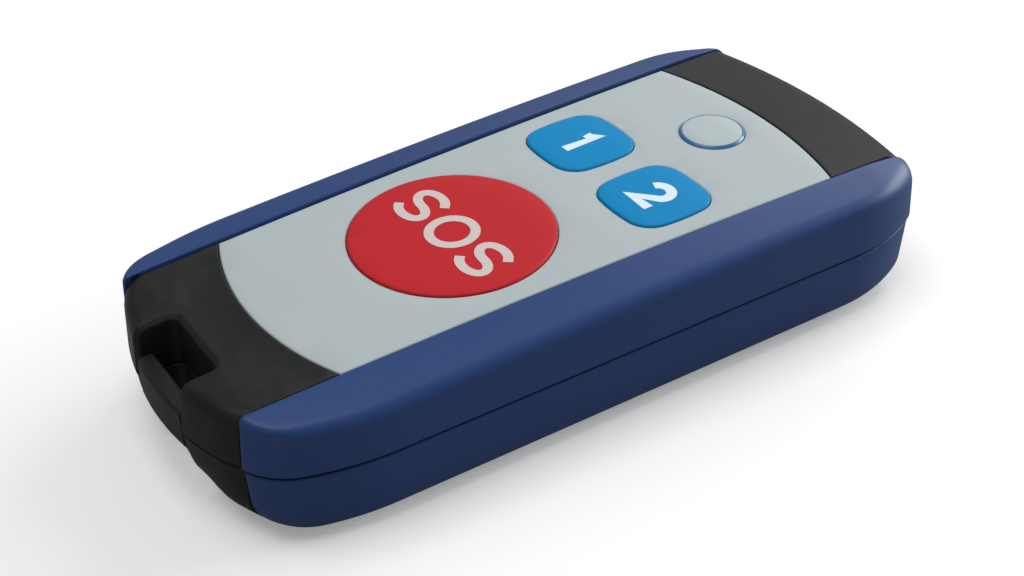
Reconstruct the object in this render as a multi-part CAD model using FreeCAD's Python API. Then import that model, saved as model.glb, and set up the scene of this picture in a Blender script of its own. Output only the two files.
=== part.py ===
import FreeCAD, Part
import math
import os

from FreeCAD import Vector

# Hand-held panic button, a key-ring transmitter. Millimetres.
# X runs from the key-ring end to the indicator end, Y towards key one, Z up.
# The origin is on the underside, at the middle of the length.

# Housing outline at the parting line
BODY_LENGTH = 72.6
BODY_HALF_WIDTH = 16.45
SIDE_TAPER_ANGLE = 1.5
NOSE_RADIUS = 28.0
NOSE_FLANK_RADIUS = 22.0
NOSE_FLANK_LENGTH = 15.65
NOSE_CORNER_RADIUS = 7.1
TAIL_RADIUS = 57.0
TAIL_FLANK_RADIUS = 17.0
TAIL_FLANK_LENGTH = 11.05
TAIL_CORNER_RADIUS = 2.9
INNER_CORNER_RADIUS = 1.0

# Housing heights and curvature
DECK_HEIGHT = 13.54
PARTING_HEIGHT = 7.4
UPPER_DRAFT_ANGLE = 3.5
LOWER_DRAFT_ANGLE = 3.0
LOWER_STEP = 0.2
CROWN_RADIUS = 1127.0
CROWN_SETBACK = 19.85
BOTTOM_EDGE_RADIUS = 3.4
BOTTOM_NOSE_RADIUS = 5.8
OUTLINE_SHARES = (0.0, 0.09, 0.3, 0.6, 1.0)
BAND_SHARES = (0.62, 0.25)
NOSE_TOP_RADIUS = 1.1
TAIL_TOP_RADIUS = 2.5
PARTING_CHAMFER = 0.25

# Blue side grips
GRIP_TOP_WIDTH = 4.7
DECK_TAPER_ANGLE = 1.7
GRIP_WALL = 1.5
GRIP_FLOOR = 2.2
GRIP_CORE_SETBACK = 0.3
GRIP_CORE_NOSE_SETBACK = 2.1
GRIP_GAP = 0.08
GRIP_RISE = 0.26
GRIP_SLOPE_ANGLE = 13.0
GRIP_CREASE_RADIUS = 1.0
TAB_LENGTH = 4.0
TAB_HEIGHT = 1.4
TAB_DEPTH = 0.9
TAB_SPACING = 30.0

# Case walls and the cavity behind the nose
CASE_WALL = 1.4
FLOOR_THICKNESS = 1.6
SIDE_FLOOR = 3.2
DECK_CEILING = 11.0
SIDE_CEILING = 9.2
CAVITY_NOSE_SETBACK = 7.8
CAVITY_CORNER_RADIUS = 1.5

# Key-ring notch and its bar
NOTCH_HALF_WIDTH = 4.15
NOTCH_DEPTH = 4.3
NOTCH_CORNER_RADIUS = 0.8
NOTCH_EDGE_BEVEL = 0.4
BAR_SETBACK = 0.2
BAR_THICKNESS = 1.8
BAR_BOTTOM = 5.5
BAR_TOP = 9.5
BAR_EDGE_RADIUS = 0.5
BAR_GAP = 0.05
BAR_TENON_LENGTH = 1.2
BAR_TENON_THICKNESS = 0.9
BAR_TENON_HEIGHT = 2.4

# Front panel
PANEL_THICKNESS = 0.8
PANEL_NOSE_SETBACK = 9.15
PANEL_NOSE_RADIUS = 26.6
PANEL_TAIL_SETBACK = 8.85
PANEL_TAIL_RADIUS = 38.5
PANEL_GAP = 0.12

# Keys
SOS_SIDE_MARGIN = 2.45
KEY_ROW_GAP = 3.92
KEY_HALF_LENGTH = 4.58
KEY_HALF_SPACING = 1.11
KEY_SIDE_MARGIN = 1.62
KEY_SIDE_RADIUS = 18.0
KEY_CORNER_RADIUS = 2.5
KEY_RISE = 0.14
KEY_EDGE_BEVEL = 0.1
KEY_GAP = 0.13
SOS_FLANGE_WIDTH = 0.7
KEY_FLANGE_WIDTH = 0.4
KEY_FLANGE_THICKNESS = 0.85
KEY_STOP_GAP = 0.05
KEY_NUB_RADIUS = 1.6
KEY_TRAVEL = 0.3

# Indicator
INDICATOR_SETBACK = 5.8
INDICATOR_PITCH = 11.4
INDICATOR_RING_RADIUS = 3.17
INDICATOR_LENS_RADIUS = 2.75
INDICATOR_RISE = 0.2
INDICATOR_EDGE_BEVEL = 0.1
INDICATOR_GAP = 0.05
LIGHT_GUIDE_RADIUS = 1.2

# Circuit board
BOARD_THICKNESS = 1.0
BOARD_UNDERSIDE = 6.2
BOARD_EDGE_GAP = 0.8
BOARD_NOSE_GAP = 4.4
BOARD_CORNER_RADIUS = 1.5
BOARD_POST_SIZE = 2.4
BOARD_POST_INSET = 1.9

# Switches
SWITCH_SIZE = 6.0
SWITCH_HEIGHT = 1.8
PLUNGER_RADIUS = 1.7
PLUNGER_HEIGHT = 0.9
PLUNGER_DEPTH = 0.8
PLUNGER_GAP = 0.12

# Board parts
LED_LENGTH = 2.0
LED_WIDTH = 1.6
LED_HEIGHT = 1.1
CHIP_SIZE = 5.0
CHIP_HEIGHT = 0.9
RADIO_SIZE = 4.0
CRYSTAL_LENGTH = 3.2
CRYSTAL_WIDTH = 2.5
CRYSTAL_HEIGHT = 0.8
CAPACITOR_LENGTH = 1.6
CAPACITOR_WIDTH = 0.8
CAPACITOR_PITCH = 2.2
CAPACITOR_COUNT = 4
PART_SPACING = 1.0
ANTENNA_WIDTH = 0.9
ANTENNA_THICKNESS = 0.3
ANTENNA_HEIGHT = 1.2
ANTENNA_SPAN = 17.0

# Cell and contacts
CELL_RADIUS = 10.0
CELL_HEIGHT = 3.2
CELL_CAP_RADIUS = 8.8
CELL_CAP_STEP = 0.35
CELL_HOLDER_GAP = 0.25
CELL_STOP_THICKNESS = 0.9
CELL_STOP_WIDTH = 6.0
CELL_STOP_HEIGHT = 2.4
CLIP_THICKNESS = 0.3
CLIP_WIDTH = 5.0
CLIP_REACH = 6.0
CONTACT_WIDTH = 3.0
CONTACT_LENGTH = 8.0

# Screws
SCREW_SHANK_RADIUS = 0.9
SCREW_HEAD_RADIUS = 1.8
SCREW_HEAD_HEIGHT = 1.1
SCREW_LENGTH = 8.0
SCREW_RECESS = 0.3
SCREW_SOCKET_RADIUS = 0.8
SCREW_SOCKET_DEPTH = 0.7
SCREW_HOLE_GAP = 0.08
BOSS_RADIUS = 2.6
BOSS_GAP = 1.6
BOSS_SIDE_INSET = 8.85

# Seal between the halves
SEAL_WIDTH = 0.6
SEAL_HEIGHT = 0.8
SEAL_INSET = 0.2
SEAL_GAP = 0.05

# Reach of the cutting blocks beyond the housing and of the grips' top surface inside the deck's edge
REACH = 12.0
TOP_REACH = 4.0

NOSE_X = -(BODY_LENGTH + BAR_SETBACK) / 2
TAIL_X = NOSE_X + BODY_LENGTH
CROWN_X = TAIL_X - CROWN_SETBACK
DECK_HALF_WIDTH = BODY_HALF_WIDTH - GRIP_TOP_WIDTH
CAVITY_INSET = GRIP_WALL + GRIP_GAP + CASE_WALL
CAVITY_NOSE_X = NOSE_X + CAVITY_NOSE_SETBACK
NOTCH_X = NOSE_X + NOTCH_DEPTH
PANEL_NOSE_X = NOSE_X + PANEL_NOSE_SETBACK
PANEL_TAIL_X = TAIL_X - PANEL_TAIL_SETBACK
INDICATOR_X = PANEL_TAIL_X - INDICATOR_SETBACK
KEY_X = INDICATOR_X - INDICATOR_PITCH
KEY_HALF_WIDTH = (DECK_HALF_WIDTH - KEY_SIDE_MARGIN - KEY_HALF_SPACING) / 2
KEY_OFFSET = KEY_HALF_SPACING + KEY_HALF_WIDTH
SOS_RADIUS = DECK_HALF_WIDTH - SOS_SIDE_MARGIN
SOS_X = KEY_X - KEY_HALF_LENGTH - KEY_ROW_GAP - SOS_RADIUS
BOARD_TOP = BOARD_UNDERSIDE + BOARD_THICKNESS
SWITCH_TOP = BOARD_TOP + SWITCH_HEIGHT
PLUNGER_TOP = SWITCH_TOP + PLUNGER_HEIGHT
FLANGE_TOP = DECK_CEILING - KEY_STOP_GAP
FLANGE_BOTTOM = FLANGE_TOP - KEY_FLANGE_THICKNESS
BOSS_X = TAIL_X - CAVITY_INSET - BOSS_RADIUS - BOSS_GAP
BOSS_OFFSET = BODY_HALF_WIDTH - BOSS_SIDE_INSET
BOARD_NOSE_X = CAVITY_NOSE_X + BOARD_NOSE_GAP
BOARD_TAIL_X = BOSS_X - BOSS_RADIUS - BOARD_EDGE_GAP
BOARD_HALF_WIDTH = BODY_HALF_WIDTH - CAVITY_INSET - BOARD_EDGE_GAP - LOWER_STEP
CELL_BOTTOM = FLOOR_THICKNESS + CLIP_THICKNESS
CELL_TOP = CELL_BOTTOM + CELL_HEIGHT
SCREW_HEAD_TOP = SCREW_RECESS + SCREW_HEAD_HEIGHT


def slope(angle):
    """Rise per unit of run for an angle in degrees."""
    return math.tan(math.radians(angle))


def crown_height(x):
    """Height of the deck surface at x."""
    return DECK_HEIGHT - CROWN_RADIUS + math.sqrt(CROWN_RADIUS ** 2 - (x - CROWN_X) ** 2)


def unit(vector):
    """The vector scaled to length one."""
    return vector * (1.0 / vector.Length)


def inner_tangent_centre(centre_a, radius_a, centre_b, radius_b, radius):
    """Centre of a small circle that touches two large ones from inside, on their +Y side."""
    reach_a = radius_a - radius
    reach_b = radius_b - radius
    between = centre_b - centre_a
    distance = between.Length
    along = (distance ** 2 + reach_a ** 2 - reach_b ** 2) / (2 * distance)
    across = math.sqrt(reach_a ** 2 - along ** 2)
    direction = unit(between)
    normal = Vector(-direction.y, direction.x, 0)
    options = [centre_a + direction * along + normal * across * sign for sign in (1, -1)]
    return max(options, key=lambda point: point.y)


def arc_about(centre, radius, start, end):
    """Arc about a centre from the direction of one point to that of another, the short way."""
    from_centre = unit(start - centre)
    to_centre = unit(end - centre)
    middle = unit(from_centre + to_centre)
    points = [centre + way * radius for way in (from_centre, middle, to_centre)]
    return Part.Arc(*points).toShape()


def flipped(point):
    """The point on the other side of the centre line."""
    return Vector(point.x, -point.y, point.z)


def end_arcs(end_x, towards, radius, flank_radius, flank_length, corner_radius, inset, end_inset):
    """One end's +Y arcs, moved inwards: their centres, the corner's radius and the touch points."""
    taper = math.radians(SIDE_TAPER_ANGLE)
    normal = Vector(-math.sin(taper), math.cos(taper), 0)
    flank_x = end_x + towards * flank_length
    flank_start = Vector(flank_x, BODY_HALF_WIDTH + flank_x * slope(SIDE_TAPER_ANGLE), 0)
    flank_centre = flank_start - normal * flank_radius
    end_centre = Vector(end_x + towards * radius, 0, 0)
    corner = max(corner_radius - inset, INNER_CORNER_RADIUS)
    end_reach = radius - end_inset
    corner_centre = inner_tangent_centre(flank_centre, flank_radius - inset, end_centre, end_reach, corner)
    flank_touch = flank_centre + unit(corner_centre - flank_centre) * (flank_radius - inset)
    corner_touch = end_centre + unit(corner_centre - end_centre) * end_reach
    return flank_centre, corner_centre, corner, flank_start - normal * inset, flank_touch, corner_touch


def plan_wire(inset, z, nose_inset=None):
    """Closed outline of the housing at height z, moved inwards, at the nose by a distance of its own."""
    edges = []
    sides = []
    for end_x, towards, radius, flank_r, flank_l, corner_r, end_inset in (
        (NOSE_X, 1, NOSE_RADIUS, NOSE_FLANK_RADIUS, NOSE_FLANK_LENGTH, NOSE_CORNER_RADIUS, nose_inset),
        (TAIL_X, -1, TAIL_RADIUS, TAIL_FLANK_RADIUS, TAIL_FLANK_LENGTH, TAIL_CORNER_RADIUS, None),
    ):
        end_inset = inset if end_inset is None else end_inset
        arcs = end_arcs(end_x, towards, radius, flank_r, flank_l, corner_r, inset, end_inset)
        flank_c, corner_c, corner, side_point, flank_touch, corner_touch = arcs
        apex = Vector(end_x + towards * end_inset, 0, 0)
        edges.append(arc_about(flank_c, flank_r - inset, side_point, flank_touch))
        edges.append(arc_about(corner_c, corner, flank_touch, corner_touch))
        edges.append(arc_about(flipped(flank_c), flank_r - inset, flipped(side_point), flipped(flank_touch)))
        edges.append(arc_about(flipped(corner_c), corner, flipped(flank_touch), flipped(corner_touch)))
        edges.append(Part.Arc(flipped(corner_touch), apex, corner_touch).toShape())
        sides.append(side_point)
    edges.append(Part.LineSegment(sides[0], sides[1]).toShape())
    edges.append(Part.LineSegment(flipped(sides[0]), flipped(sides[1])).toShape())
    wire = Part.Wire(Part.__sortEdges__(edges))
    wire.translate(Vector(0, 0, z))
    return wire


def prism(wire, z_low, z_high):
    """Upright solid on a closed outline drawn at height 0."""
    face = Part.Face(wire)
    face.translate(Vector(0, 0, z_low))
    return face.extrude(Vector(0, 0, z_high - z_low))


def polygon(points):
    """Closed wire through points of the XY plane."""
    corners = [Vector(x, y, 0) for x, y in points]
    return Part.makePolygon(corners + corners[:1])


def block(x_low, x_high, y_low, y_high, z_low, z_high):
    """Rectangular solid between two corners."""
    return Part.makeBox(x_high - x_low, y_high - y_low, z_high - z_low, Vector(x_low, y_low, z_low))


def disc(x, y, radius, z_low, z_high):
    """Upright cylinder."""
    return Part.makeCylinder(radius, z_high - z_low, Vector(x, y, z_low))


def rib(x, y, size, z_low, z_high):
    """Upright square post."""
    return block(x - size / 2, x + size / 2, y - size / 2, y + size / 2, z_low, z_high)


def rounded_block(x, y, half_length, half_width, corner, z_low, z_high):
    """Upright block about x, y with rounded upright edges."""
    solid = block(x - half_length, x + half_length, y - half_width, y + half_width, z_low, z_high)
    return solid.makeFillet(corner, upright_edges(solid))


def upright_edges(shape):
    """Straight edges that run along Z."""
    return [edge for edge in shape.Edges if edge.BoundBox.XLength < 1e-4 and edge.BoundBox.YLength < 1e-4]


def softened(shape, select, radius):
    """The shape with the selected edges rounded in three flat bands."""
    for share in BAND_SHARES:
        shape = shape.makeChamfer(radius * share, select(shape))
    return shape


def edges_near(shape, test):
    """Edges whose bounding box passes the test."""
    return [edge for edge in shape.Edges if test(edge.BoundBox)]


def deck_line(x, gap):
    """Half width of the deck at x, moved inwards by gap."""
    return DECK_HALF_WIDTH + x * slope(DECK_TAPER_ANGLE) - gap


def deck_prism(gap, z_low, z_high):
    """Tapered strip between the two grips."""
    low = NOSE_X - REACH
    high = TAIL_X + REACH
    outline = [(low, -deck_line(low, gap)), (high, -deck_line(high, gap)),
               (high, deck_line(high, gap)), (low, deck_line(low, gap))]
    return prism(polygon(outline), z_low, z_high)


def grip_prism(side, gap, z_low, z_high):
    """Region outboard of the deck on one side, where side is 1 or -1."""
    low = NOSE_X - REACH
    high = TAIL_X + REACH
    outer = BODY_HALF_WIDTH + REACH
    outline = [(low, side * deck_line(low, gap)), (high, side * deck_line(high, gap)),
               (high, side * outer), (low, side * outer)]
    return prism(polygon(outline), z_low, z_high)


def crown_block(offset):
    """Everything below the crowned deck surface, which is moved up by offset."""
    half_width = BODY_HALF_WIDTH + REACH
    ends = [Vector(x, -half_width, crown_height(x) + offset) for x in (NOSE_X - REACH, TAIL_X + REACH)]
    apex = Vector(CROWN_X, -half_width, DECK_HEIGHT + offset)
    base = [Vector(end.x, end.y, -REACH) for end in ends]
    edges = [Part.Arc(ends[0], apex, ends[1]).toShape(),
             Part.LineSegment(ends[1], base[1]).toShape(),
             Part.LineSegment(base[1], base[0]).toShape(),
             Part.LineSegment(base[0], ends[0]).toShape()]
    return Part.Face(Part.Wire(edges)).extrude(Vector(0, 2 * half_width, 0))


def grip_top_block(side, drop):
    """Everything below a grip's sloping, crowned top, which is moved down by drop."""
    inner = -TOP_REACH
    outer = REACH
    height = DECK_HEIGHT + GRIP_RISE - drop
    fall = slope(GRIP_SLOPE_ANGLE)
    across = [(inner, height - inner * fall), (outer, height - outer * fall), (outer, 0), (inner, 0)]
    taper = math.radians(DECK_TAPER_ANGLE)
    outward = Vector(-math.sin(taper), side * math.cos(taper), 0)
    start = Vector(CROWN_X, side * deck_line(CROWN_X, 0), 0)
    points = [start + outward * s + Vector(0, 0, z) for s, z in across]
    face = Part.Face(Part.makePolygon(points + points[:1]))
    centre = start + Vector(0, 0, DECK_HEIGHT - CROWN_RADIUS)
    sweep = math.degrees(math.atan((BODY_LENGTH + REACH) / CROWN_RADIUS))
    face.rotate(centre, outward, -sweep)
    return face.revolve(centre, outward, 2 * sweep)


def upper_block():
    """Drafted upper half of the housing, open-ended upwards."""
    top = DECK_HEIGHT + REACH / 4
    lean = (top - PARTING_HEIGHT) * slope(UPPER_DRAFT_ANGLE)
    return Part.makeLoft([plan_wire(0, PARTING_HEIGHT), plan_wire(lean, top)], True, True)


def arc_inset(radius, height):
    """How far a quarter-round edge has moved in at a height above its lowest point."""
    if height >= radius:
        return 0
    return radius - math.sqrt(radius ** 2 - (radius - height) ** 2)


def lower_block():
    """Drafted lower half of the housing, lofted through outlines up its rounded underside."""
    heights = [BOTTOM_EDGE_RADIUS * share for share in OUTLINE_SHARES] + [BOTTOM_NOSE_RADIUS, PARTING_HEIGHT]
    wires = []
    for height in heights:
        wall = LOWER_STEP + (PARTING_HEIGHT - height) * slope(LOWER_DRAFT_ANGLE)
        wires.append(plan_wire(wall + arc_inset(BOTTOM_EDGE_RADIUS, height), height,
                               wall + arc_inset(BOTTOM_NOSE_RADIUS, height)))
    return Part.makeLoft(wires, True, True)


def cavity_prism(inset, z_low, z_high):
    """The inner space, which stops short of the key-ring notch."""
    solid = prism(plan_wire(inset, 0), z_low, z_high)
    wall_x = CAVITY_NOSE_X + inset - CAVITY_INSET
    solid = solid.common(block(wall_x, TAIL_X, -REACH * 2, REACH * 2, z_low, z_high))
    corners = edges_near(solid, lambda box: box.XMax < wall_x + 1e-3 and box.YLength < 1e-3)
    return solid.makeFillet(CAVITY_CORNER_RADIUS, corners)


def seal_ring(width_gap, z_low, z_high):
    """The seal's path as a ring, with its width opened by a gap on both sides."""
    outer = cavity_prism(CAVITY_INSET - SEAL_INSET - SEAL_WIDTH - width_gap, z_low, z_high)
    inner = cavity_prism(CAVITY_INSET - SEAL_INSET + width_gap, z_low, z_high)
    return outer.cut(inner)


def boss_places():
    """Centres of the screw bosses."""
    return [(BOSS_X, side * BOSS_OFFSET) for side in (1, -1)]


def post_places():
    """Centres of the board's posts."""
    inset = BOARD_POST_INSET
    return [(x, side * (BOARD_HALF_WIDTH - inset))
            for x in (BOARD_NOSE_X + inset, BOARD_TAIL_X - inset) for side in (1, -1)]


def key_places():
    """The two numbered keys: name and centre."""
    return [("one", KEY_X, KEY_OFFSET), ("two", KEY_X, -KEY_OFFSET)]


def key_wire(x, y, grow):
    """Outline of a numbered key: four bulged sides joined by tangent corners."""
    side = KEY_SIDE_RADIUS
    right = Vector(KEY_HALF_LENGTH - side, 0, 0)
    top = Vector(0, KEY_HALF_WIDTH - side, 0)
    corner = inner_tangent_centre(right, side, top, side, KEY_CORNER_RADIUS)
    touch_right = right + unit(corner - right) * (side + grow)
    touch_top = top + unit(corner - top) * (side + grow)
    edges = []
    for across, up in ((1, 1), (-1, 1), (-1, -1), (1, -1)):
        place = Vector(corner.x * across, corner.y * up, 0)
        start = Vector(touch_right.x * across, touch_right.y * up, 0)
        end = Vector(touch_top.x * across, touch_top.y * up, 0)
        edges.append(arc_about(place, KEY_CORNER_RADIUS + grow, start, end))
    for sign in (1, -1):
        tip = Vector((KEY_HALF_LENGTH + grow) * sign, 0, 0)
        start = Vector(touch_right.x * sign, touch_right.y, 0)
        edges.append(Part.Arc(start, tip, flipped(start)).toShape())
        tip = Vector(0, (KEY_HALF_WIDTH + grow) * sign, 0)
        start = Vector(touch_top.x, touch_top.y * sign, 0)
        edges.append(Part.Arc(start, tip, Vector(-start.x, start.y, 0)).toShape())
    wire = Part.Wire(Part.__sortEdges__(edges))
    wire.translate(Vector(x, y, 0))
    return wire


def sos_wire(grow):
    """Outline of the round key."""
    return Part.Wire(Part.makeCircle(SOS_RADIUS + grow, Vector(SOS_X, 0, 0)))


def panel_prism(gap, z_low, z_high):
    """The panel's outline: tapered sides and two ends that bow outwards."""
    low = PANEL_NOSE_X + gap
    high = PANEL_TAIL_X - gap
    nose = disc(low + PANEL_NOSE_RADIUS, 0, PANEL_NOSE_RADIUS, z_low, z_high)
    nose = nose.fuse(block(low + PANEL_NOSE_RADIUS, high, -REACH * 2, REACH * 2, z_low, z_high))
    nose = nose.common(block(low, low + PANEL_NOSE_RADIUS, -REACH * 2, REACH * 2, z_low, z_high))
    tail = disc(high - PANEL_TAIL_RADIUS, 0, PANEL_TAIL_RADIUS, z_low, z_high)
    tail = tail.common(block(low + PANEL_NOSE_RADIUS, high, -REACH * 2, REACH * 2, z_low, z_high))
    return nose.fuse(tail).removeSplitter().common(deck_prism(gap, z_low, z_high))


def notch_cutter(z_low, z_high):
    """The key-ring notch, open at the front, from one height to another."""
    return block(NOSE_X - REACH, NOTCH_X, -NOTCH_HALF_WIDTH, NOTCH_HALF_WIDTH, z_low, z_high)


def bar_tenons(gap):
    """The bar's two end tenons as one block across the notch, grown by gap."""
    x_rear = NOSE_X + BAR_SETBACK + BAR_THICKNESS - BAR_EDGE_RADIUS / 2
    half_span = NOTCH_HALF_WIDTH + BAR_TENON_LENGTH + gap
    z_low = PARTING_HEIGHT - BAR_TENON_HEIGHT / 2 - gap
    z_high = PARTING_HEIGHT + BAR_TENON_HEIGHT / 2 + gap
    return block(x_rear - BAR_TENON_THICKNESS - gap, x_rear + gap, -half_span, half_span, z_low, z_high)


def grip_tabs(side, z, gap):
    """Short tabs that locate a grip on the case, grown by gap."""
    tabs = []
    for offset in (-0.5, 0.5):
        x = offset * TAB_SPACING
        half_length = TAB_LENGTH / 2 + gap
        half_height = TAB_HEIGHT / 2 + gap
        outer_y = BODY_HALF_WIDTH + x * slope(SIDE_TAPER_ANGLE) - GRIP_WALL / 2
        inner_y = outer_y - GRIP_WALL / 2 - TAB_DEPTH - gap
        y_low, y_high = sorted((side * outer_y, side * inner_y))
        tabs.append(block(x - half_length, x + half_length, y_low, y_high, z - half_height, z + half_height))
    return tabs[0].fuse(tabs[1])


def upper_tab_height():
    """Middle height of the upper grips' tabs."""
    return (PARTING_HEIGHT + SIDE_CEILING) / 2


def lower_tab_height():
    """Middle height of the lower grips' tabs."""
    return PARTING_HEIGHT - (upper_tab_height() - PARTING_HEIGHT) * 2


def upper_core(side, gap):
    """Upright core under an upper grip, moved inwards by a gap."""
    inset = GRIP_WALL + gap
    lean = (DECK_HEIGHT - PARTING_HEIGHT) * slope(UPPER_DRAFT_ANGLE)
    core = prism(plan_wire(inset + lean, 0), PARTING_HEIGHT, DECK_HEIGHT + REACH)
    core = core.common(grip_prism(side, CASE_WALL / 2, 0, DECK_HEIGHT + REACH))
    return core.common(grip_top_block(side, inset))


def lower_core(side, gap):
    """Upright core above a lower grip's floor, moved inwards by a gap."""
    inset = GRIP_WALL + gap
    outline = plan_wire(inset + GRIP_CORE_SETBACK, 0, inset + GRIP_CORE_NOSE_SETBACK)
    core = prism(outline, GRIP_FLOOR + gap, PARTING_HEIGHT)
    return core.common(grip_prism(side, CASE_WALL / 2, 0, DECK_HEIGHT))


def at_parting(box):
    """Whether a bounding box lies in the parting plane."""
    return abs(box.ZMin - PARTING_HEIGHT) < 1e-3 and box.ZLength < 1e-3


def parting_ends(shape):
    """Edges of the nose and tail faces on the parting plane."""
    return edges_near(shape, lambda box: at_parting(box) and box.YLength > NOTCH_EDGE_BEVEL * 3
                      and (box.XMax < NOTCH_X or box.XMin > PANEL_TAIL_X))


def off_deck_line(edge):
    """How far an edge's middle lies outboard of the deck's edge."""
    middle = edge.valueAt((edge.FirstParameter + edge.LastParameter) / 2)
    return abs(middle.y) - deck_line(middle.x, 0)


def notched(half):
    """Half of the deck strip with the key-ring notch cut in and the notch's rear corners rounded."""
    half = half.cut(notch_cutter(-REACH, DECK_HEIGHT + REACH))
    corners = edges_near(half, lambda box: abs(box.XMin - NOTCH_X) < 1e-3 and box.XLength < 1e-3
                         and box.YLength < 1e-3)
    return half.makeFillet(NOTCH_CORNER_RADIUS, corners)


def notch_rim(half):
    """Edges up the front of the notch, back along its sides and across its rear."""
    reach = NOTCH_HALF_WIDTH + 1e-2
    return edges_near(half, lambda box: box.YMax < reach and box.YMin > -reach
                      and box.XMax < NOTCH_X + 1e-2 and not at_parting(box)
                      and (box.XLength > 1e-3 or box.YLength > 1e-3))


def notch_rear(shape):
    """Edge across the rear of the notch on the parting plane."""
    return edges_near(shape, lambda box: at_parting(box) and abs(box.XMax - NOTCH_X) < 1e-3
                      and box.YLength > NOTCH_EDGE_BEVEL * 3)


def deck_end(shape, towards):
    """Top edges across the deck at the nose (-1) or the tail (1)."""
    middle = (PARTING_HEIGHT + DECK_HEIGHT) / 2
    return edges_near(shape, lambda box: box.ZMin > middle and box.YLength > NOTCH_HALF_WIDTH
                      and box.XMin * towards > 0)


def make_deck():
    """The crowned strip between the grips, with its notch and rounded edges."""
    deck = upper_block().common(deck_prism(GRIP_GAP, 0, DECK_HEIGHT + REACH)).common(crown_block(0))
    deck = deck.makeChamfer(PARTING_CHAMFER, parting_ends(deck))
    deck = softened(deck, lambda shape: deck_end(shape, 1), TAIL_TOP_RADIUS)
    deck = softened(deck, lambda shape: deck_end(shape, -1), NOSE_TOP_RADIUS)
    deck = notched(deck)
    deck = deck.makeChamfer(NOTCH_EDGE_BEVEL, notch_rim(deck))
    return deck.makeChamfer(PARTING_CHAMFER, notch_rear(deck))


def make_top_case():
    """Upper shell: crowned deck, key holes, notch, bosses and the ledges under the grips."""
    deck = make_deck()
    for side in (1, -1):
        deck = deck.fuse(upper_core(side, GRIP_GAP))
        deck = deck.cut(grip_tabs(side, upper_tab_height(), GRIP_GAP))
    recess = panel_prism(0, PARTING_HEIGHT, DECK_HEIGHT + REACH).cut(crown_block(-PANEL_THICKNESS))
    case = deck.cut(recess)
    centre = cavity_prism(CAVITY_INSET, PARTING_HEIGHT, DECK_CEILING)
    centre = centre.common(deck_prism(CASE_WALL, 0, DECK_HEIGHT))
    cavity = cavity_prism(CAVITY_INSET, PARTING_HEIGHT, SIDE_CEILING).fuse(centre)
    for x, y in boss_places():
        cavity = cavity.cut(disc(x, y, BOSS_RADIUS, 0, DECK_HEIGHT))
    case = case.cut(cavity)
    case = case.cut(prism(sos_wire(KEY_GAP), PARTING_HEIGHT, DECK_HEIGHT + REACH))
    for _, x, y in key_places():
        case = case.cut(prism(key_wire(x, y, KEY_GAP), PARTING_HEIGHT, DECK_HEIGHT + REACH))
    guide = LIGHT_GUIDE_RADIUS + INDICATOR_GAP
    case = case.cut(disc(INDICATOR_X, 0, guide, PARTING_HEIGHT, DECK_HEIGHT + REACH))
    screw_top = SCREW_HEAD_TOP + SCREW_LENGTH + SCREW_RECESS
    for x, y in boss_places():
        case = case.cut(disc(x, y, SCREW_SHANK_RADIUS + SCREW_HOLE_GAP, 0, screw_top))
    case = case.cut(bar_tenons(BAR_GAP))
    return case.removeSplitter()


def cell_stops():
    """Short ribs on the floor that keep the cell from sliding: one before it and two beside its clip."""
    reach = CELL_RADIUS + CELL_HOLDER_GAP
    thick = CELL_STOP_THICKNESS
    top = FLOOR_THICKNESS + CELL_STOP_HEIGHT
    front = block(SOS_X - reach - thick, SOS_X - reach, -CELL_STOP_WIDTH / 2, CELL_STOP_WIDTH / 2,
                  FLOOR_THICKNESS / 2, top)
    inner = CLIP_WIDTH / 2 + CELL_HOLDER_GAP
    outer = inner + CELL_STOP_WIDTH / 2
    rear = [block(SOS_X + reach, SOS_X + reach + thick, min(side * inner, side * outer),
                  max(side * inner, side * outer), FLOOR_THICKNESS / 2, top) for side in (1, -1)]
    return [front] + rear


def make_bottom_case():
    """Lower shell: floor, notch, seal groove, cell stops, board posts and screw bosses."""
    case = notched(lower_block().common(deck_prism(GRIP_GAP, -REACH, PARTING_HEIGHT)))
    case = case.makeChamfer(PARTING_CHAMFER, parting_ends(case))
    for side in (1, -1):
        case = case.fuse(lower_core(side, GRIP_GAP))
        case = case.cut(grip_tabs(side, lower_tab_height(), GRIP_GAP))
    cavity = cavity_prism(CAVITY_INSET + LOWER_STEP, SIDE_FLOOR, PARTING_HEIGHT)
    middle = cavity_prism(CAVITY_INSET + LOWER_STEP, FLOOR_THICKNESS, PARTING_HEIGHT)
    case = case.cut(cavity).cut(middle.common(deck_prism(CASE_WALL, 0, PARTING_HEIGHT)))
    case = case.cut(disc(SOS_X, 0, CELL_RADIUS + CELL_HOLDER_GAP, FLOOR_THICKNESS, PARTING_HEIGHT))
    for stop in cell_stops():
        case = case.fuse(stop)
    for x, y in boss_places():
        case = case.fuse(disc(x, y, BOSS_RADIUS, FLOOR_THICKNESS / 2, PARTING_HEIGHT))
        case = case.cut(disc(x, y, SCREW_SHANK_RADIUS + SCREW_HOLE_GAP, 0, PARTING_HEIGHT))
        case = case.cut(disc(x, y, SCREW_HEAD_RADIUS + SCREW_HOLE_GAP, -REACH, SCREW_HEAD_TOP))
    post_base = (GRIP_FLOOR + GRIP_GAP + SIDE_FLOOR) / 2
    for x, y in post_places():
        case = case.fuse(rib(x, y, BOARD_POST_SIZE, post_base, BOARD_UNDERSIDE))
    case = case.cut(seal_ring(SEAL_GAP, PARTING_HEIGHT - SEAL_HEIGHT, PARTING_HEIGHT))
    case = case.cut(bar_tenons(BAR_GAP))
    return case.removeSplitter()


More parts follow.
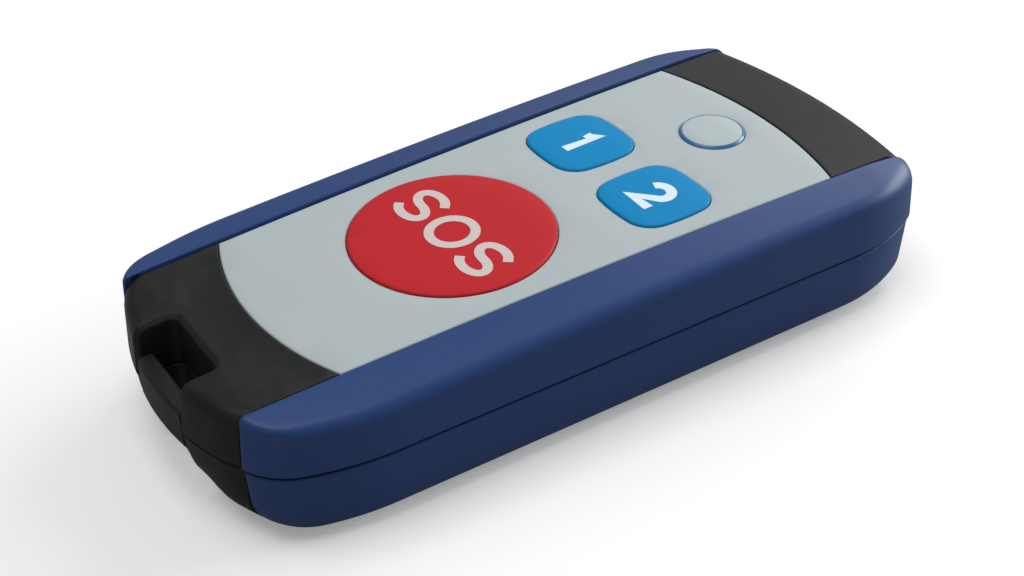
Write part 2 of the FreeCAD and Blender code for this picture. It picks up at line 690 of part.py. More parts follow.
def make_upper_grip(side):
    """Blue upper side strip: drafted, crowned and creased, with two locating tabs."""
    grip = upper_block().common(grip_top_block(side, 0))
    grip = softened(grip, crease_edges, GRIP_CREASE_RADIUS)
    grip = grip.common(grip_prism(side, 0, 0, DECK_HEIGHT + REACH))
    parting = [edge for edge in grip.Edges if is_parting_rim(edge)]
    grip = grip.makeChamfer(PARTING_CHAMFER, parting)
    grip = grip.cut(upper_core(side, 0))
    return grip.fuse(grip_tabs(side, upper_tab_height(), 0)).removeSplitter()


def make_lower_grip(side):
    """Blue lower side strip with the rounded underside and two locating tabs."""
    grip = lower_block().common(grip_prism(side, 0, -REACH, DECK_HEIGHT))
    parting = [edge for edge in grip.Edges if is_parting_rim(edge)]
    grip = grip.makeChamfer(PARTING_CHAMFER, parting)
    grip = grip.cut(lower_core(side, 0))
    return grip.fuse(grip_tabs(side, lower_tab_height(), 0)).removeSplitter()


def crease_edges(grip):
    """Edges that run along the outside of an upper grip's top, before the grip is cut off at the deck."""
    middle = (PARTING_HEIGHT + DECK_HEIGHT) / 2
    return [edge for edge in grip.Edges if edge.BoundBox.ZMin > middle
            and off_deck_line(edge) > 1e-3 - TOP_REACH and edge.BoundBox.ZLength < edge.Length * 0.4]


def is_parting_rim(edge):
    """Whether an edge runs along the outside of a grip on the parting plane."""
    return at_parting(edge.BoundBox) and off_deck_line(edge) > 1e-3


def make_key_ring_bar():
    """Bar that closes the notch: it follows the nose and its tenons sit in both halves."""
    front = NOSE_X + BAR_SETBACK
    rear = front + BAR_THICKNESS
    half_span = NOTCH_HALF_WIDTH - BAR_GAP
    nose = disc(front + NOSE_RADIUS, 0, NOSE_RADIUS, BAR_BOTTOM, BAR_TOP)
    bar = nose.common(block(front - REACH, rear, -half_span, half_span, BAR_BOTTOM, BAR_TOP))
    long_edges = edges_near(bar, lambda box: box.ZLength < 1e-3 and box.YLength > half_span)
    bar = bar.makeFillet(BAR_EDGE_RADIUS, long_edges)
    return bar.fuse(bar_tenons(0)).removeSplitter()


def make_front_panel():
    """Thin crowned panel with the key and indicator holes."""
    panel = panel_prism(PANEL_GAP, PARTING_HEIGHT, DECK_HEIGHT + REACH)
    panel = panel.common(crown_block(0)).cut(crown_block(-PANEL_THICKNESS))
    panel = panel.cut(prism(sos_wire(KEY_GAP), 0, DECK_HEIGHT + REACH))
    for _, x, y in key_places():
        panel = panel.cut(prism(key_wire(x, y, KEY_GAP), 0, DECK_HEIGHT + REACH))
    return panel.cut(disc(INDICATOR_X, 0, INDICATOR_RING_RADIUS + INDICATOR_GAP, 0, DECK_HEIGHT + REACH))


def make_key(wire, flange_wire, x, y):
    """Key cap: crowned top, flange that stops under the deck and a nub over its switch."""
    cap = prism(wire, FLANGE_BOTTOM, DECK_HEIGHT + REACH).common(crown_block(KEY_RISE))
    rim = edges_near(cap, lambda box: box.ZMin > DECK_CEILING)
    cap = cap.makeChamfer(KEY_EDGE_BEVEL, rim)
    key = cap.fuse(prism(flange_wire, FLANGE_BOTTOM, FLANGE_TOP))
    return key.fuse(disc(x, y, KEY_NUB_RADIUS, PLUNGER_TOP, FLANGE_BOTTOM)).removeSplitter()


def make_switch(x, y):
    """Switch body with the well that its plunger runs in."""
    body = rib(x, y, SWITCH_SIZE, BOARD_TOP, SWITCH_TOP)
    well = SWITCH_TOP - PLUNGER_DEPTH - KEY_TRAVEL - PLUNGER_GAP
    return body.cut(disc(x, y, PLUNGER_RADIUS + PLUNGER_GAP, well, SWITCH_TOP))


def make_plunger(x, y):
    """Round switch plunger."""
    return disc(x, y, PLUNGER_RADIUS, SWITCH_TOP - PLUNGER_DEPTH, PLUNGER_TOP)


def make_indicator_lens():
    """Lens disc with a light guide that ends above the lamp."""
    top = crown_height(INDICATOR_X) + INDICATOR_RISE
    seat = crown_height(INDICATOR_X) - PANEL_THICKNESS
    lens = disc(INDICATOR_X, 0, INDICATOR_LENS_RADIUS, seat, top)
    rim = edges_near(lens, lambda box: box.ZMin > top - 1e-3)
    lens = lens.makeChamfer(INDICATOR_EDGE_BEVEL, rim)
    lens = lens.cut(crown_block(-PANEL_THICKNESS))
    guide_end = BOARD_TOP + LED_HEIGHT + INDICATOR_GAP
    guide = disc(INDICATOR_X, 0, LIGHT_GUIDE_RADIUS, guide_end, top - INDICATOR_RISE)
    return lens.fuse(guide).removeSplitter()


def make_indicator_ring():
    """Bevelled ring around the lens."""
    level = crown_height(INDICATOR_X)
    inner = INDICATOR_LENS_RADIUS + INDICATOR_GAP
    outer = INDICATOR_RING_RADIUS
    low = level - PANEL_THICKNESS
    section = [Vector(inner, 0, low), Vector(outer, 0, low), Vector(outer, 0, level),
               Vector(inner, 0, level + INDICATOR_RISE * 2 / 3)]
    ring = Part.Face(Part.makePolygon(section + section[:1])).revolve(Vector(0, 0, 0), Vector(0, 0, 1), 360)
    ring.translate(Vector(INDICATOR_X, 0, 0))
    return ring.cut(crown_block(-PANEL_THICKNESS))


def make_circuit_board():
    """Board with rounded corners, which lies on the lower case's posts."""
    x = (BOARD_NOSE_X + BOARD_TAIL_X) / 2
    half_length = (BOARD_TAIL_X - BOARD_NOSE_X) / 2
    corner = BOARD_CORNER_RADIUS
    return rounded_block(x, 0, half_length, BOARD_HALF_WIDTH, corner, BOARD_UNDERSIDE, BOARD_TOP)


def board_part(x, y, length, width, height):
    """A small block soldered on the board's upper face."""
    return block(x - length / 2, x + length / 2, y - width / 2, y + width / 2, BOARD_TOP, BOARD_TOP + height)


def make_chip(x, y, size):
    """A square package with a chamfered top."""
    chip = board_part(x, y, size, size, CHIP_HEIGHT)
    rim = edges_near(chip, lambda box: box.ZMin > BOARD_TOP + CHIP_HEIGHT - 1e-3)
    return chip.makeChamfer(CHIP_HEIGHT / 6, rim)


def chip_x():
    """Middle of the board between the SOS switch and the key switches."""
    return (SOS_X + KEY_X) / 2


def make_capacitors():
    """A row of small capacitors."""
    first = -(CAPACITOR_COUNT - 1) / 2 * CAPACITOR_PITCH
    x = SOS_X - SWITCH_SIZE
    height = CAPACITOR_WIDTH
    places = [first + index * CAPACITOR_PITCH for index in range(CAPACITOR_COUNT)]
    return Part.makeCompound([board_part(x, y, CAPACITOR_LENGTH, CAPACITOR_WIDTH, height) for y in places])


def make_antenna():
    """Flat strip that stands on two legs along the board's edge."""
    y_low = BOARD_HALF_WIDTH - ANTENNA_WIDTH - PART_SPACING
    start = chip_x() + CHIP_SIZE / 2
    end = start + ANTENNA_SPAN
    top = BOARD_TOP + ANTENNA_HEIGHT
    thick = ANTENNA_THICKNESS
    antenna = block(start, end, y_low, y_low + ANTENNA_WIDTH, top - thick, top)
    for x in (start, end - thick):
        antenna = antenna.fuse(block(x, x + thick, y_low, y_low + ANTENNA_WIDTH, BOARD_TOP, top))
    return antenna.removeSplitter()


def make_coin_cell():
    """Coin cell: a can with a smaller raised cap on top."""
    can = disc(SOS_X, 0, CELL_RADIUS, CELL_BOTTOM, CELL_TOP - CELL_CAP_STEP)
    return can.fuse(disc(SOS_X, 0, CELL_CAP_RADIUS, CELL_BOTTOM + CELL_HEIGHT / 2, CELL_TOP)).removeSplitter()


def make_battery_clip():
    """Bent strap from the board down beside the cell and under it."""
    wall = SOS_X + CELL_RADIUS + CELL_HOLDER_GAP / 2
    half = CLIP_WIDTH / 2
    foot = block(wall - CLIP_REACH, wall + CLIP_THICKNESS, -half, half, FLOOR_THICKNESS, CELL_BOTTOM)
    leg = block(wall, wall + CLIP_THICKNESS, -half, half, FLOOR_THICKNESS, BOARD_UNDERSIDE)
    tab = block(wall, wall + CLIP_REACH / 2, -half, half, BOARD_UNDERSIDE - CLIP_THICKNESS, BOARD_UNDERSIDE)
    clip = foot.fuse(leg).fuse(tab).removeSplitter()
    bend = edges_near(clip, lambda box: box.YLength > CLIP_WIDTH - 1e-3 and box.ZMax < FLOOR_THICKNESS + 1e-3
                      and box.XMin > wall)
    return clip.makeFillet(CLIP_THICKNESS / 2, bend)


def make_cell_contact():
    """Arched spring strip under the board that presses on the cell's cap."""
    half_length = CONTACT_LENGTH / 2
    half_width = CONTACT_WIDTH / 2
    ends = [Vector(SOS_X - half_length, -half_width, BOARD_UNDERSIDE),
            Vector(SOS_X + half_length, -half_width, BOARD_UNDERSIDE)]
    belly = Vector(SOS_X, -half_width, CELL_TOP)
    rise = Vector(0, 0, CLIP_THICKNESS)
    flat = Vector(CLIP_THICKNESS * 2, 0, 0)
    edges = [Part.Arc(ends[0], belly, ends[1]).toShape(),
             Part.LineSegment(ends[1], ends[1] - flat).toShape(),
             Part.Arc(ends[1] - flat, belly + rise, ends[0] + flat).toShape(),
             Part.LineSegment(ends[0] + flat, ends[0]).toShape()]
    return Part.Face(Part.Wire(edges)).extrude(Vector(0, CONTACT_WIDTH, 0))


def make_screws():
    """The case screws, heads in the underside and shanks up into the top case."""
    screws = []
    for x, y in boss_places():
        head = disc(x, y, SCREW_HEAD_RADIUS, SCREW_RECESS, SCREW_HEAD_TOP)
        head = head.cut(disc(x, y, SCREW_SOCKET_RADIUS, SCREW_RECESS, SCREW_RECESS + SCREW_SOCKET_DEPTH))
        shank = disc(x, y, SCREW_SHANK_RADIUS, SCREW_HEAD_TOP, SCREW_HEAD_TOP + SCREW_LENGTH)
        screws.append(head.fuse(shank).removeSplitter())
    return Part.makeCompound(screws)


def build_parts():
    """Every sub-part by name."""
    parts = {
        "top_case": make_top_case(),
        "bottom_case": make_bottom_case(),
        "key_ring_bar": make_key_ring_bar(),
        "front_panel": make_front_panel(),
        "indicator_lens": make_indicator_lens(),
        "indicator_ring": make_indicator_ring(),
        "case_seal": seal_ring(0, PARTING_HEIGHT - SEAL_HEIGHT, PARTING_HEIGHT),
        "case_screws": make_screws(),
        "circuit_board": make_circuit_board(),
        "coin_cell": make_coin_cell(),
        "battery_clip": make_battery_clip(),
        "cell_contact": make_cell_contact(),
        "status_led": board_part(INDICATOR_X, 0, LED_LENGTH, LED_WIDTH, LED_HEIGHT),
        "control_chip": make_chip(chip_x(), CHIP_SIZE / 2 + PART_SPACING / 2, CHIP_SIZE),
        "radio_chip": make_chip(chip_x(), -RADIO_SIZE / 2 - PART_SPACING / 2, RADIO_SIZE),
        "crystal": board_part(chip_x(), -RADIO_SIZE - PART_SPACING * 1.5 - CRYSTAL_WIDTH / 2,
                              CRYSTAL_LENGTH, CRYSTAL_WIDTH, CRYSTAL_HEIGHT),
        "chip_capacitors": make_capacitors(),
        "antenna_strip": make_antenna(),
        "sos_key": make_key(sos_wire(0), sos_wire(SOS_FLANGE_WIDTH), SOS_X, 0),
        "sos_switch": make_switch(SOS_X, 0),
        "sos_plunger": make_plunger(SOS_X, 0),
    }
    for name, x, y in key_places():
        flange = key_wire(x, y, KEY_FLANGE_WIDTH)
        parts["key_" + name] = make_key(key_wire(x, y, 0), flange, x, y)
        parts["key_" + name + "_switch"] = make_switch(x, y)
        parts["key_" + name + "_plunger"] = make_plunger(x, y)
    for name, grip in (("upper_grip", make_upper_grip(-1)), ("lower_grip", make_lower_grip(-1))):
        parts[name + "_right"] = grip
        parts[name + "_left"] = grip.mirror(Vector(0, 0, 0), Vector(0, 1, 0))
    return parts


def main():
    """Write one file per sub-part."""
    os.makedirs("parts", exist_ok=True)
    for name, shape in build_parts().items():
        shape.exportStep("parts/" + name + ".step")
        print(name, "volume", round(shape.Volume, 2), "valid", shape.isValid(), "solids", len(shape.Solids))


main()
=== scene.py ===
import logging
import math
from dataclasses import dataclass, field
from enum import Enum
from typing import Callable, Iterable, Optional, Protocol, Sequence, Union

import bmesh
import bpy
from mathutils import Matrix, Vector
from mathutils.geometry import delaunay_2d_cdt

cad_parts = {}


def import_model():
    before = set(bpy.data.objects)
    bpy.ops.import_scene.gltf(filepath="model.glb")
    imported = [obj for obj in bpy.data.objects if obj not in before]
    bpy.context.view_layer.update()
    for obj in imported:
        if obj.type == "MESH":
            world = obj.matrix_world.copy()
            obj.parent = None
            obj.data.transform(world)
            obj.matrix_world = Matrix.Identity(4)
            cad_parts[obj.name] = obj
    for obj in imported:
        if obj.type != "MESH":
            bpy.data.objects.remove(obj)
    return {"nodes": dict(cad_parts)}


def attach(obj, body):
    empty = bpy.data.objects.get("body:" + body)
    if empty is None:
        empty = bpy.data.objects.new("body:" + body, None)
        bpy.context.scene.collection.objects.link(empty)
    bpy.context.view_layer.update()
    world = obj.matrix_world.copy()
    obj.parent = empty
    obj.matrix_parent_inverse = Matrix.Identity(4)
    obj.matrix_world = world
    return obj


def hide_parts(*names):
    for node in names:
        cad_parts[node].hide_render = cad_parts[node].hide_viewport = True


# Hand-held panic button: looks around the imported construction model.
# X runs from the key-ring end to the indicator end, Y towards key one, Z up.
# Shapes are worked out in millimetres and turned into metres as each mesh is made.

LOG = logging.getLogger("panic_button")
MM = 0.001

# Kinds of value: a point of the plan, a linear colour, a value along X, a value over the plan.
Point = tuple[float, float]
Colour = tuple[float, float, float, float]
Along = Callable[[float], float]
Over = Callable[[float, float], float]


# Small sums


def part_way(value: float, start: float, end: float) -> float:
    """Share of the way from start to end at which a value lies, kept from 0 to 1."""
    return min(max((value - start) / (end - start), 0.0), 1.0)


def eased(share: float) -> float:
    """A share from 0 to 1 that leaves and arrives gently."""
    return share * share * (3 - 2 * share)


def between(first: Point, second: Point, share: float) -> Point:
    """The point that lies a share of the way from one point to another."""
    return (first[0] + (second[0] - first[0]) * share, first[1] + (second[1] - first[1]) * share)


def wrapped(angle: float) -> float:
    """An angle brought to within half a turn of zero."""
    return (angle + math.pi) % math.tau - math.pi


def on_circle(centre: Point, radius: float, angles: Iterable[float]) -> list[Point]:
    """Points of a circle at some angles."""
    return [(centre[0] + radius * math.cos(a), centre[1] + radius * math.sin(a)) for a in angles]


def arc(centre: Point, radius: float, start: float, end: float, steps: int) -> list[Point]:
    """Points along an arc between two angles, without its last point."""
    angles = [start + (end - start) * k / steps for k in range(steps)]
    return on_circle(centre, radius, angles)


# Materials


class Pattern(Enum):
    """Kinds of fine surface texture on a moulded piece."""

    SPARK = "spark"
    POLISHED = "polished"
    FILM = "film"
    RUBBERY = "rubbery"


@dataclass(frozen=True)
class Finish:
    """One plastic, film or metal finish.

    Attributes:
        name: Name of the material.
        colour: Base colour as display values from 0 to 255.
        roughness: Mean roughness.
        pattern: Kind of fine texture.
        relief: Depth of the fine texture, as the strength of its bump.
        mottle: Share by which the colour drifts over the surface.
        wear: How much paler the convex edges are.
        softness: Radius by which the shading rounds the edges, in millimetres.
        metallic: 1 for bare metal, otherwise 0.
        coat: Weight of a clear coat.
        specular: Strength of the plain reflection.
    """

    name: str
    colour: tuple[float, float, float]
    roughness: float
    pattern: Pattern = Pattern.SPARK
    relief: float = 0.12
    mottle: float = 0.05
    wear: float = 0.0
    softness: float = 0.0
    metallic: float = 0.0
    coat: float = 0.0
    specular: float = 0.5


def linear(colour: Sequence[float]) -> Colour:
    """Turn a display colour from 0 to 255 into a linear one with alpha."""
    channels = []
    for value in colour:
        share = value / 255
        channels.append(share / 12.92 if share <= 0.04045 else ((share + 0.055) / 1.055) ** 2.4)
    return (channels[0], channels[1], channels[2], 1.0)


def changed(colour: Colour, change: Along) -> Colour:
    """A linear colour with a change made to each channel, up to 1."""
    red, green, blue = (min(change(value), 1.0) for value in colour[:3])
    return (red, green, blue, 1.0)


def preset(node: bpy.types.Node, values: dict[str, object]) -> bpy.types.Node:
    """Set the starting values of a node's inputs and hand the node back."""
    for socket, value in values.items():
        node.inputs[socket].default_value = value
    return node


def add_node(tree: bpy.types.NodeTree, kind: str,
             values: Optional[dict[str, object]] = None) -> bpy.types.Node:
    """Add a node to a tree.

    Args:
        tree: The tree.
        kind: The node's type.
        values: Starting values of its inputs.

    Returns:
        The new node.
    """
    return preset(tree.nodes.new(kind), values or {})


def add_product(tree: bpy.types.NodeTree) -> bpy.types.Node:
    """Add a node that multiplies two values."""
    node = tree.nodes.new("ShaderNodeMath")
    node.operation = "MULTIPLY"
    return node


def add_colour_mix(tree: bpy.types.NodeTree, values: dict[str, Colour]) -> bpy.types.Node:
    """Add a node that mixes two colours, with the starting colours of its inputs."""
    node = tree.nodes.new("ShaderNodeMix")
    node.data_type = "RGBA"
    return preset(node, values)


def add_group(tree: bpy.types.NodeTree, group: bpy.types.NodeTree,
              values: dict[str, float]) -> bpy.types.Node:
    """Place a shared group in a tree, with starting values of its inputs."""
    node = tree.nodes.new("ShaderNodeGroup")
    node.node_tree = group
    return preset(node, values)


Socket = Union[str, int]


def wire(tree: bpy.types.NodeTree,
         *links: tuple[bpy.types.Node, Socket, bpy.types.Node, Socket]) -> None:
    """Link nodes of a tree.

    Args:
        tree: The tree.
        links: For each link the source, its output, the target and its input.
    """
    for source, output, target, socket in links:
        tree.links.new(source.outputs[output], target.inputs[socket])


class NodeGroups:
    """Shared shader effects, each built once."""

    def __init__(self) -> None:
        """Build every group."""
        self.grain = self._grain()
        self.edge_wear = self._edge_wear()

    def _new(self, name: str, inputs: dict[str, float],
             outputs: Sequence[str]) -> bpy.types.NodeTree:
        """Make an empty group with named number sockets.

        Args:
            name: Name of the group.
            inputs: Name and starting value of each input.
            outputs: Name of each output.

        Returns:
            The new group with its input and output nodes in it.
        """
        group = bpy.data.node_groups.new(name, "ShaderNodeTree")
        kind = "NodeSocketFloat"
        for label, value in inputs.items():
            socket = group.interface.new_socket(label, in_out="INPUT", socket_type=kind)
            socket.default_value = value
        for label in outputs:
            group.interface.new_socket(label, in_out="OUTPUT", socket_type=kind)
        group.nodes.new("NodeGroupInput").name = "in"
        group.nodes.new("NodeGroupOutput").name = "out"
        return group

    def _grain(self) -> bpy.types.NodeTree:
        """Fine moulded texture: a height and a value that drifts slowly over the piece."""
        group = self._new("moulded_grain", {"Grain Scale": 6000.0, "Drift Scale": 90.0},
                          ("Height", "Drift"))
        start, end = group.nodes["in"], group.nodes["out"]
        place = add_node(group, "ShaderNodeTexCoord")
        fine = add_node(group, "ShaderNodeTexNoise", {"Detail": 2.0, "Roughness": 0.6})
        pits = add_node(group, "ShaderNodeTexVoronoi")
        pits.feature = "SMOOTH_F1"
        slow = add_node(group, "ShaderNodeTexNoise", {"Detail": 3.0})
        both = add_product(group)
        for texture, scale in ((fine, "Grain Scale"), (pits, "Grain Scale"), (slow, "Drift Scale")):
            wire(group, (place, "Object", texture, "Vector"), (start, scale, texture, "Scale"))
        wire(group, (fine, "Fac", both, 0), (pits, "Distance", both, 1),
             (both, "Value", end, "Height"), (slow, "Fac", end, "Drift"))
        return group

    def _edge_wear(self) -> bpy.types.NodeTree:
        """Mask of convex edges, broken up by noise, where handling has polished the piece."""
        group = self._new("edge_wear", {"Amount": 0.3}, ("Mask",))
        start, end = group.nodes["in"], group.nodes["out"]
        shape = add_node(group, "ShaderNodeNewGeometry")
        ramp = add_node(group, "ShaderNodeMapRange", {"From Min": 0.52, "From Max": 0.62})
        place = add_node(group, "ShaderNodeTexCoord")
        breaks = add_node(group, "ShaderNodeTexNoise", {"Scale": 700.0})
        broken, scaled = add_product(group), add_product(group)
        wire(group, (shape, "Pointiness", ramp, "Value"), (place, "Object", breaks, "Vector"),
             (ramp, "Result", broken, 0), (breaks, "Fac", broken, 1), (broken, "Value", scaled, 0),
             (start, "Amount", scaled, 1), (scaled, "Value", end, "Mask"))
        return group


GRAIN_SCALE = {Pattern.SPARK: 5200.0, Pattern.POLISHED: 1500.0, Pattern.FILM: 7500.0,
               Pattern.RUBBERY: 3000.0}
GRAIN_DEPTH = 0.02 * MM
ROUGHNESS_DRIFT = 0.06
LEAST_ROUGHNESS = 0.02
WORN_GREY = 0.6
WORN_SHARE = 0.25
SOFT_EDGE_SAMPLES = 6


class Materials:
    """Makes each finish's material once and hands it out."""

    def __init__(self) -> None:
        """Start with no materials and the shared groups."""
        self._groups = NodeGroups()
        self._made: dict[str, bpy.types.Material] = {}

    def get(self, finish: Finish) -> bpy.types.Material:
        """Return the material of a finish, made on first use.

        Args:
            finish: The finish to make.

        Returns:
            A node-based material with grain, slow colour drift and edge wear.
        """
        if finish.name not in self._made:
            self._made[finish.name] = self._make(finish)
        return self._made[finish.name]

    def _make(self, finish: Finish) -> bpy.types.Material:
        """Build the material of a finish."""
        material = bpy.data.materials.new(finish.name)
        material.use_nodes = True
        tree = material.node_tree
        surface = next(node for node in tree.nodes if node.type == "BSDF_PRINCIPLED")
        preset(surface, {"Metallic": finish.metallic, "Specular IOR Level": finish.specular,
                         "Coat Weight": finish.coat})
        grain = add_group(tree, self._groups.grain, {"Grain Scale": GRAIN_SCALE[finish.pattern]})
        base = linear(finish.colour)
        colour = add_colour_mix(tree, {"A": changed(base, lambda v: v * (1 - finish.mottle)),
                                       "B": changed(base, lambda v: v * (1 + finish.mottle))})
        wire(tree, (grain, "Drift", colour, "Factor"))
        if finish.wear > 0:
            worn = add_group(tree, self._groups.edge_wear, {"Amount": finish.wear})
            pale = add_colour_mix(
                tree, {"B": changed(base, lambda v: v + (WORN_GREY - v) * WORN_SHARE)})
            wire(tree, (worn, "Mask", pale, "Factor"), (colour, "Result", pale, "A"))
            colour = pale
        rough = add_node(tree, "ShaderNodeMapRange", {
            "To Min": max(finish.roughness - ROUGHNESS_DRIFT, LEAST_ROUGHNESS),
            "To Max": min(finish.roughness + ROUGHNESS_DRIFT, 1.0)})
        bump = add_node(tree, "ShaderNodeBump",
                        {"Strength": finish.relief, "Distance": GRAIN_DEPTH})
        wire(tree, (colour, "Result", surface, "Base Color"), (grain, "Drift", rough, "Value"),
             (rough, "Result", surface, "Roughness"), (grain, "Height", bump, "Height"),
             (bump, "Normal", surface, "Normal"))
        if finish.softness > 0:
            rounded = add_node(tree, "ShaderNodeBevel", {"Radius": finish.softness * MM})
            rounded.samples = SOFT_EDGE_SAMPLES
            wire(tree, (rounded, "Normal", bump, "Normal"))
        return material


@dataclass(frozen=True)
class Palette:
    """The finishes of the button."""

    case_black: Finish = Finish("case_black", (27, 28, 28), 0.42, Pattern.SPARK, 0.25, 0.08,
                                wear=0.15, softness=0.35, specular=0.15)
    bar_black: Finish = Finish("bar_black", (26, 27, 27), 0.5, Pattern.SPARK, 0.2, 0.06,
                               wear=0.25, softness=0.3, specular=0.25)
    grip_blue: Finish = Finish("grip_blue", (34, 63, 115), 0.42, Pattern.SPARK, 0.15, 0.04,
                               wear=0.12, specular=0.28)
    panel_grey: Finish = Finish("panel_grey", (172, 182, 184), 0.5, Pattern.FILM, 0.08, 0.015,
                                specular=0.15)
    lens_grey: Finish = Finish("lens_grey", (172, 183, 185), 0.4, Pattern.POLISHED, 0.03, 0.01,
                               specular=0.2)
    ring_blue: Finish = Finish("ring_blue", (48, 112, 160), 0.3, Pattern.POLISHED, 0.03, 0.03)
    key_red: Finish = Finish("key_red", (184, 36, 42), 0.5, Pattern.FILM, 0.08, 0.02,
                             specular=0.12)
    key_blue: Finish = Finish("key_blue", (6, 130, 186), 0.5, Pattern.FILM, 0.08, 0.02,
                              specular=0.1)
    legend_warm: Finish = Finish("legend_warm", (203, 192, 188), 0.5, Pattern.FILM, 0.05, 0.01,
                                 specular=0.15)
    legend_cool: Finish = Finish("legend_cool", (216, 232, 242), 0.5, Pattern.FILM, 0.05, 0.01,
                                 specular=0.15)
    seal_rubber: Finish = Finish("seal_rubber", (30, 30, 32), 0.8, Pattern.RUBBERY, 0.3, 0.05)
    screw_steel: Finish = Finish("screw_steel", (170, 170, 172), 0.35, Pattern.POLISHED, 0.05, 0.05,
                                 metallic=1.0)
    cell_steel: Finish = Finish("cell_steel", (195, 195, 198), 0.25, Pattern.POLISHED, 0.05, 0.03,
                                metallic=1.0)
    contact_steel: Finish = Finish("contact_steel", (200, 195, 180), 0.3, Pattern.POLISHED, 0.05,
                                   0.03, metallic=1.0)
    board_green: Finish = Finish("board_green", (28, 92, 58), 0.4, Pattern.FILM, 0.1, 0.08)
    chip_black: Finish = Finish("chip_black", (34, 34, 36), 0.6, Pattern.SPARK, 0.2, 0.05)
    chip_metal: Finish = Finish("chip_metal", (190, 190, 192), 0.3, Pattern.POLISHED, 0.05, 0.03,
                                metallic=1.0)
    capacitor_tan: Finish = Finish("capacitor_tan", (170, 140, 100), 0.6, Pattern.SPARK, 0.1, 0.08)
    lamp_white: Finish = Finish("lamp_white", (235, 235, 225), 0.25, Pattern.POLISHED, 0.02, 0.01,
                                coat=0.5)
    switch_grey: Finish = Finish("switch_grey", (60, 60, 64), 0.55, Pattern.SPARK, 0.15, 0.05)
    plunger_black: Finish = Finish("plunger_black", (32, 32, 34), 0.5, Pattern.SPARK, 0.15, 0.05)
    strip_copper: Finish = Finish("strip_copper", (184, 115, 70), 0.35, Pattern.POLISHED, 0.05,
                                  0.05, metallic=1.0)


# Mesh helpers


def stand(name: str, data: bpy.types.ID) -> bpy.types.Object:
    """Put a new object into the scene."""
    thing = bpy.data.objects.new(name, data)
    bpy.context.scene.collection.objects.link(thing)
    return thing


def add_piece(mesh: bpy.types.Mesh, material: bpy.types.Material, body: str,
              replaced: Sequence[str] = ()) -> None:
    """Place a finished mesh in the scene as a piece of the button, under the mesh's name.

    Args:
        mesh: The mesh, in metres in the row frame.
        material: Its material.
        body: The body that it moves with.
        replaced: CAD nodes that it stands for.
    """
    piece = stand(mesh.name, mesh)
    mesh.materials.append(material)
    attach(piece, body)
    if replaced:
        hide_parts(*replaced)
    LOG.info("%s: %d faces on %s", piece.name, len(mesh.polygons), body)


def dress(piece: bpy.types.Object, material: bpy.types.Material) -> None:
    """Give a CAD node that stays a better material."""
    if not piece.material_slots:
        piece.data.materials.append(material)
    for slot in piece.material_slots:
        slot.material = material
    LOG.info("%s: dressed in %s", piece.name, material.name)


def finished(name: str, work: bmesh.types.BMesh, degrees: float = 38.0) -> bpy.types.Mesh:
    """Turn a mesh that is being made into a finished one.

    Args:
        name: Its name.
        work: The mesh that is being made.
        degrees: Angle beyond which an edge is shaded as a sharp one.

    Returns:
        The mesh, with its faces turned outwards and smoothly shaded.
    """
    bmesh.ops.recalc_face_normals(work, faces=work.faces)
    mesh = bpy.data.meshes.new(name)
    work.to_mesh(mesh)
    work.free()
    for polygon in mesh.polygons:
        polygon.use_smooth = True
    mesh.set_sharp_from_angle(angle=math.radians(degrees))
    return mesh


def join_rows(work: bmesh.types.BMesh, rows: Sequence[Sequence[bmesh.types.BMVert]],
              closed: bool) -> None:
    """Fill the strips between rows of vertices.

    Args:
        work: The mesh to add to.
        rows: The rows, with equal counts.
        closed: Whether the end of each row joins its start.
    """
    for first, second in zip(rows, rows[1:]):
        count = len(first)
        for i in range(count if closed else count - 1):
            j = (i + 1) % count
            work.faces.new((first[i], first[j], second[j], second[i]))


@dataclass(frozen=True)
class Crown:
    """The slightly arched face: an arc of large radius in the XZ plane, in millimetres."""

    height_at_apex: float = 13.54
    radius: float = 1127.0
    apex: float = 16.35

    def height(self, x: float) -> float:
        """Height of the face at x."""
        reach = math.sqrt(self.radius ** 2 - (x - self.apex) ** 2)
        return self.height_at_apex - self.radius + reach


CROWN = Crown()


def level(height: float) -> Along:
    """A height that is the same everywhere."""
    return lambda x: height


def above_crown(rise: float) -> Along:
    """A height that follows the crown at a distance."""
    return lambda x: CROWN.height(x) + rise


# Housing outline


@dataclass(frozen=True)
class OutlineEnd:
    """One end of the housing's outline: an end arc, a corner arc and a flank arc.

    Attributes:
        tip: Where the end arc crosses the centre line.
        towards: 1 if the body lies towards +X from the tip, otherwise -1.
        radius: Radius of the end arc.
        flank_radius: Radius of the flank arc.
        flank_length: Distance from the tip to the start of the straight side.
        corner_radius: Radius of the corner arc.
    """

    tip: float
    towards: int
    radius: float
    flank_radius: float
    flank_length: float
    corner_radius: float


def circle_crossing(first: Vector, first_reach: float, second: Vector, second_reach: float,
                    towards: Vector) -> Vector:
    """Where two circles cross, on the side that a direction points to.

    Args:
        first: Centre of the first circle.
        first_reach: Its radius.
        second: Centre of the second circle.
        second_reach: Its radius.
        towards: Direction of the wanted crossing.

    Returns:
        The crossing.
    """
    span = (second - first).length
    along = (span ** 2 + first_reach ** 2 - second_reach ** 2) / (2 * span)
    across = math.sqrt(first_reach ** 2 - along ** 2)
    way = (second - first).normalized()
    normal = Vector((-way.y, way.x))
    return max((first + way * along + normal * across * sign for sign in (1, -1)), key=towards.dot)


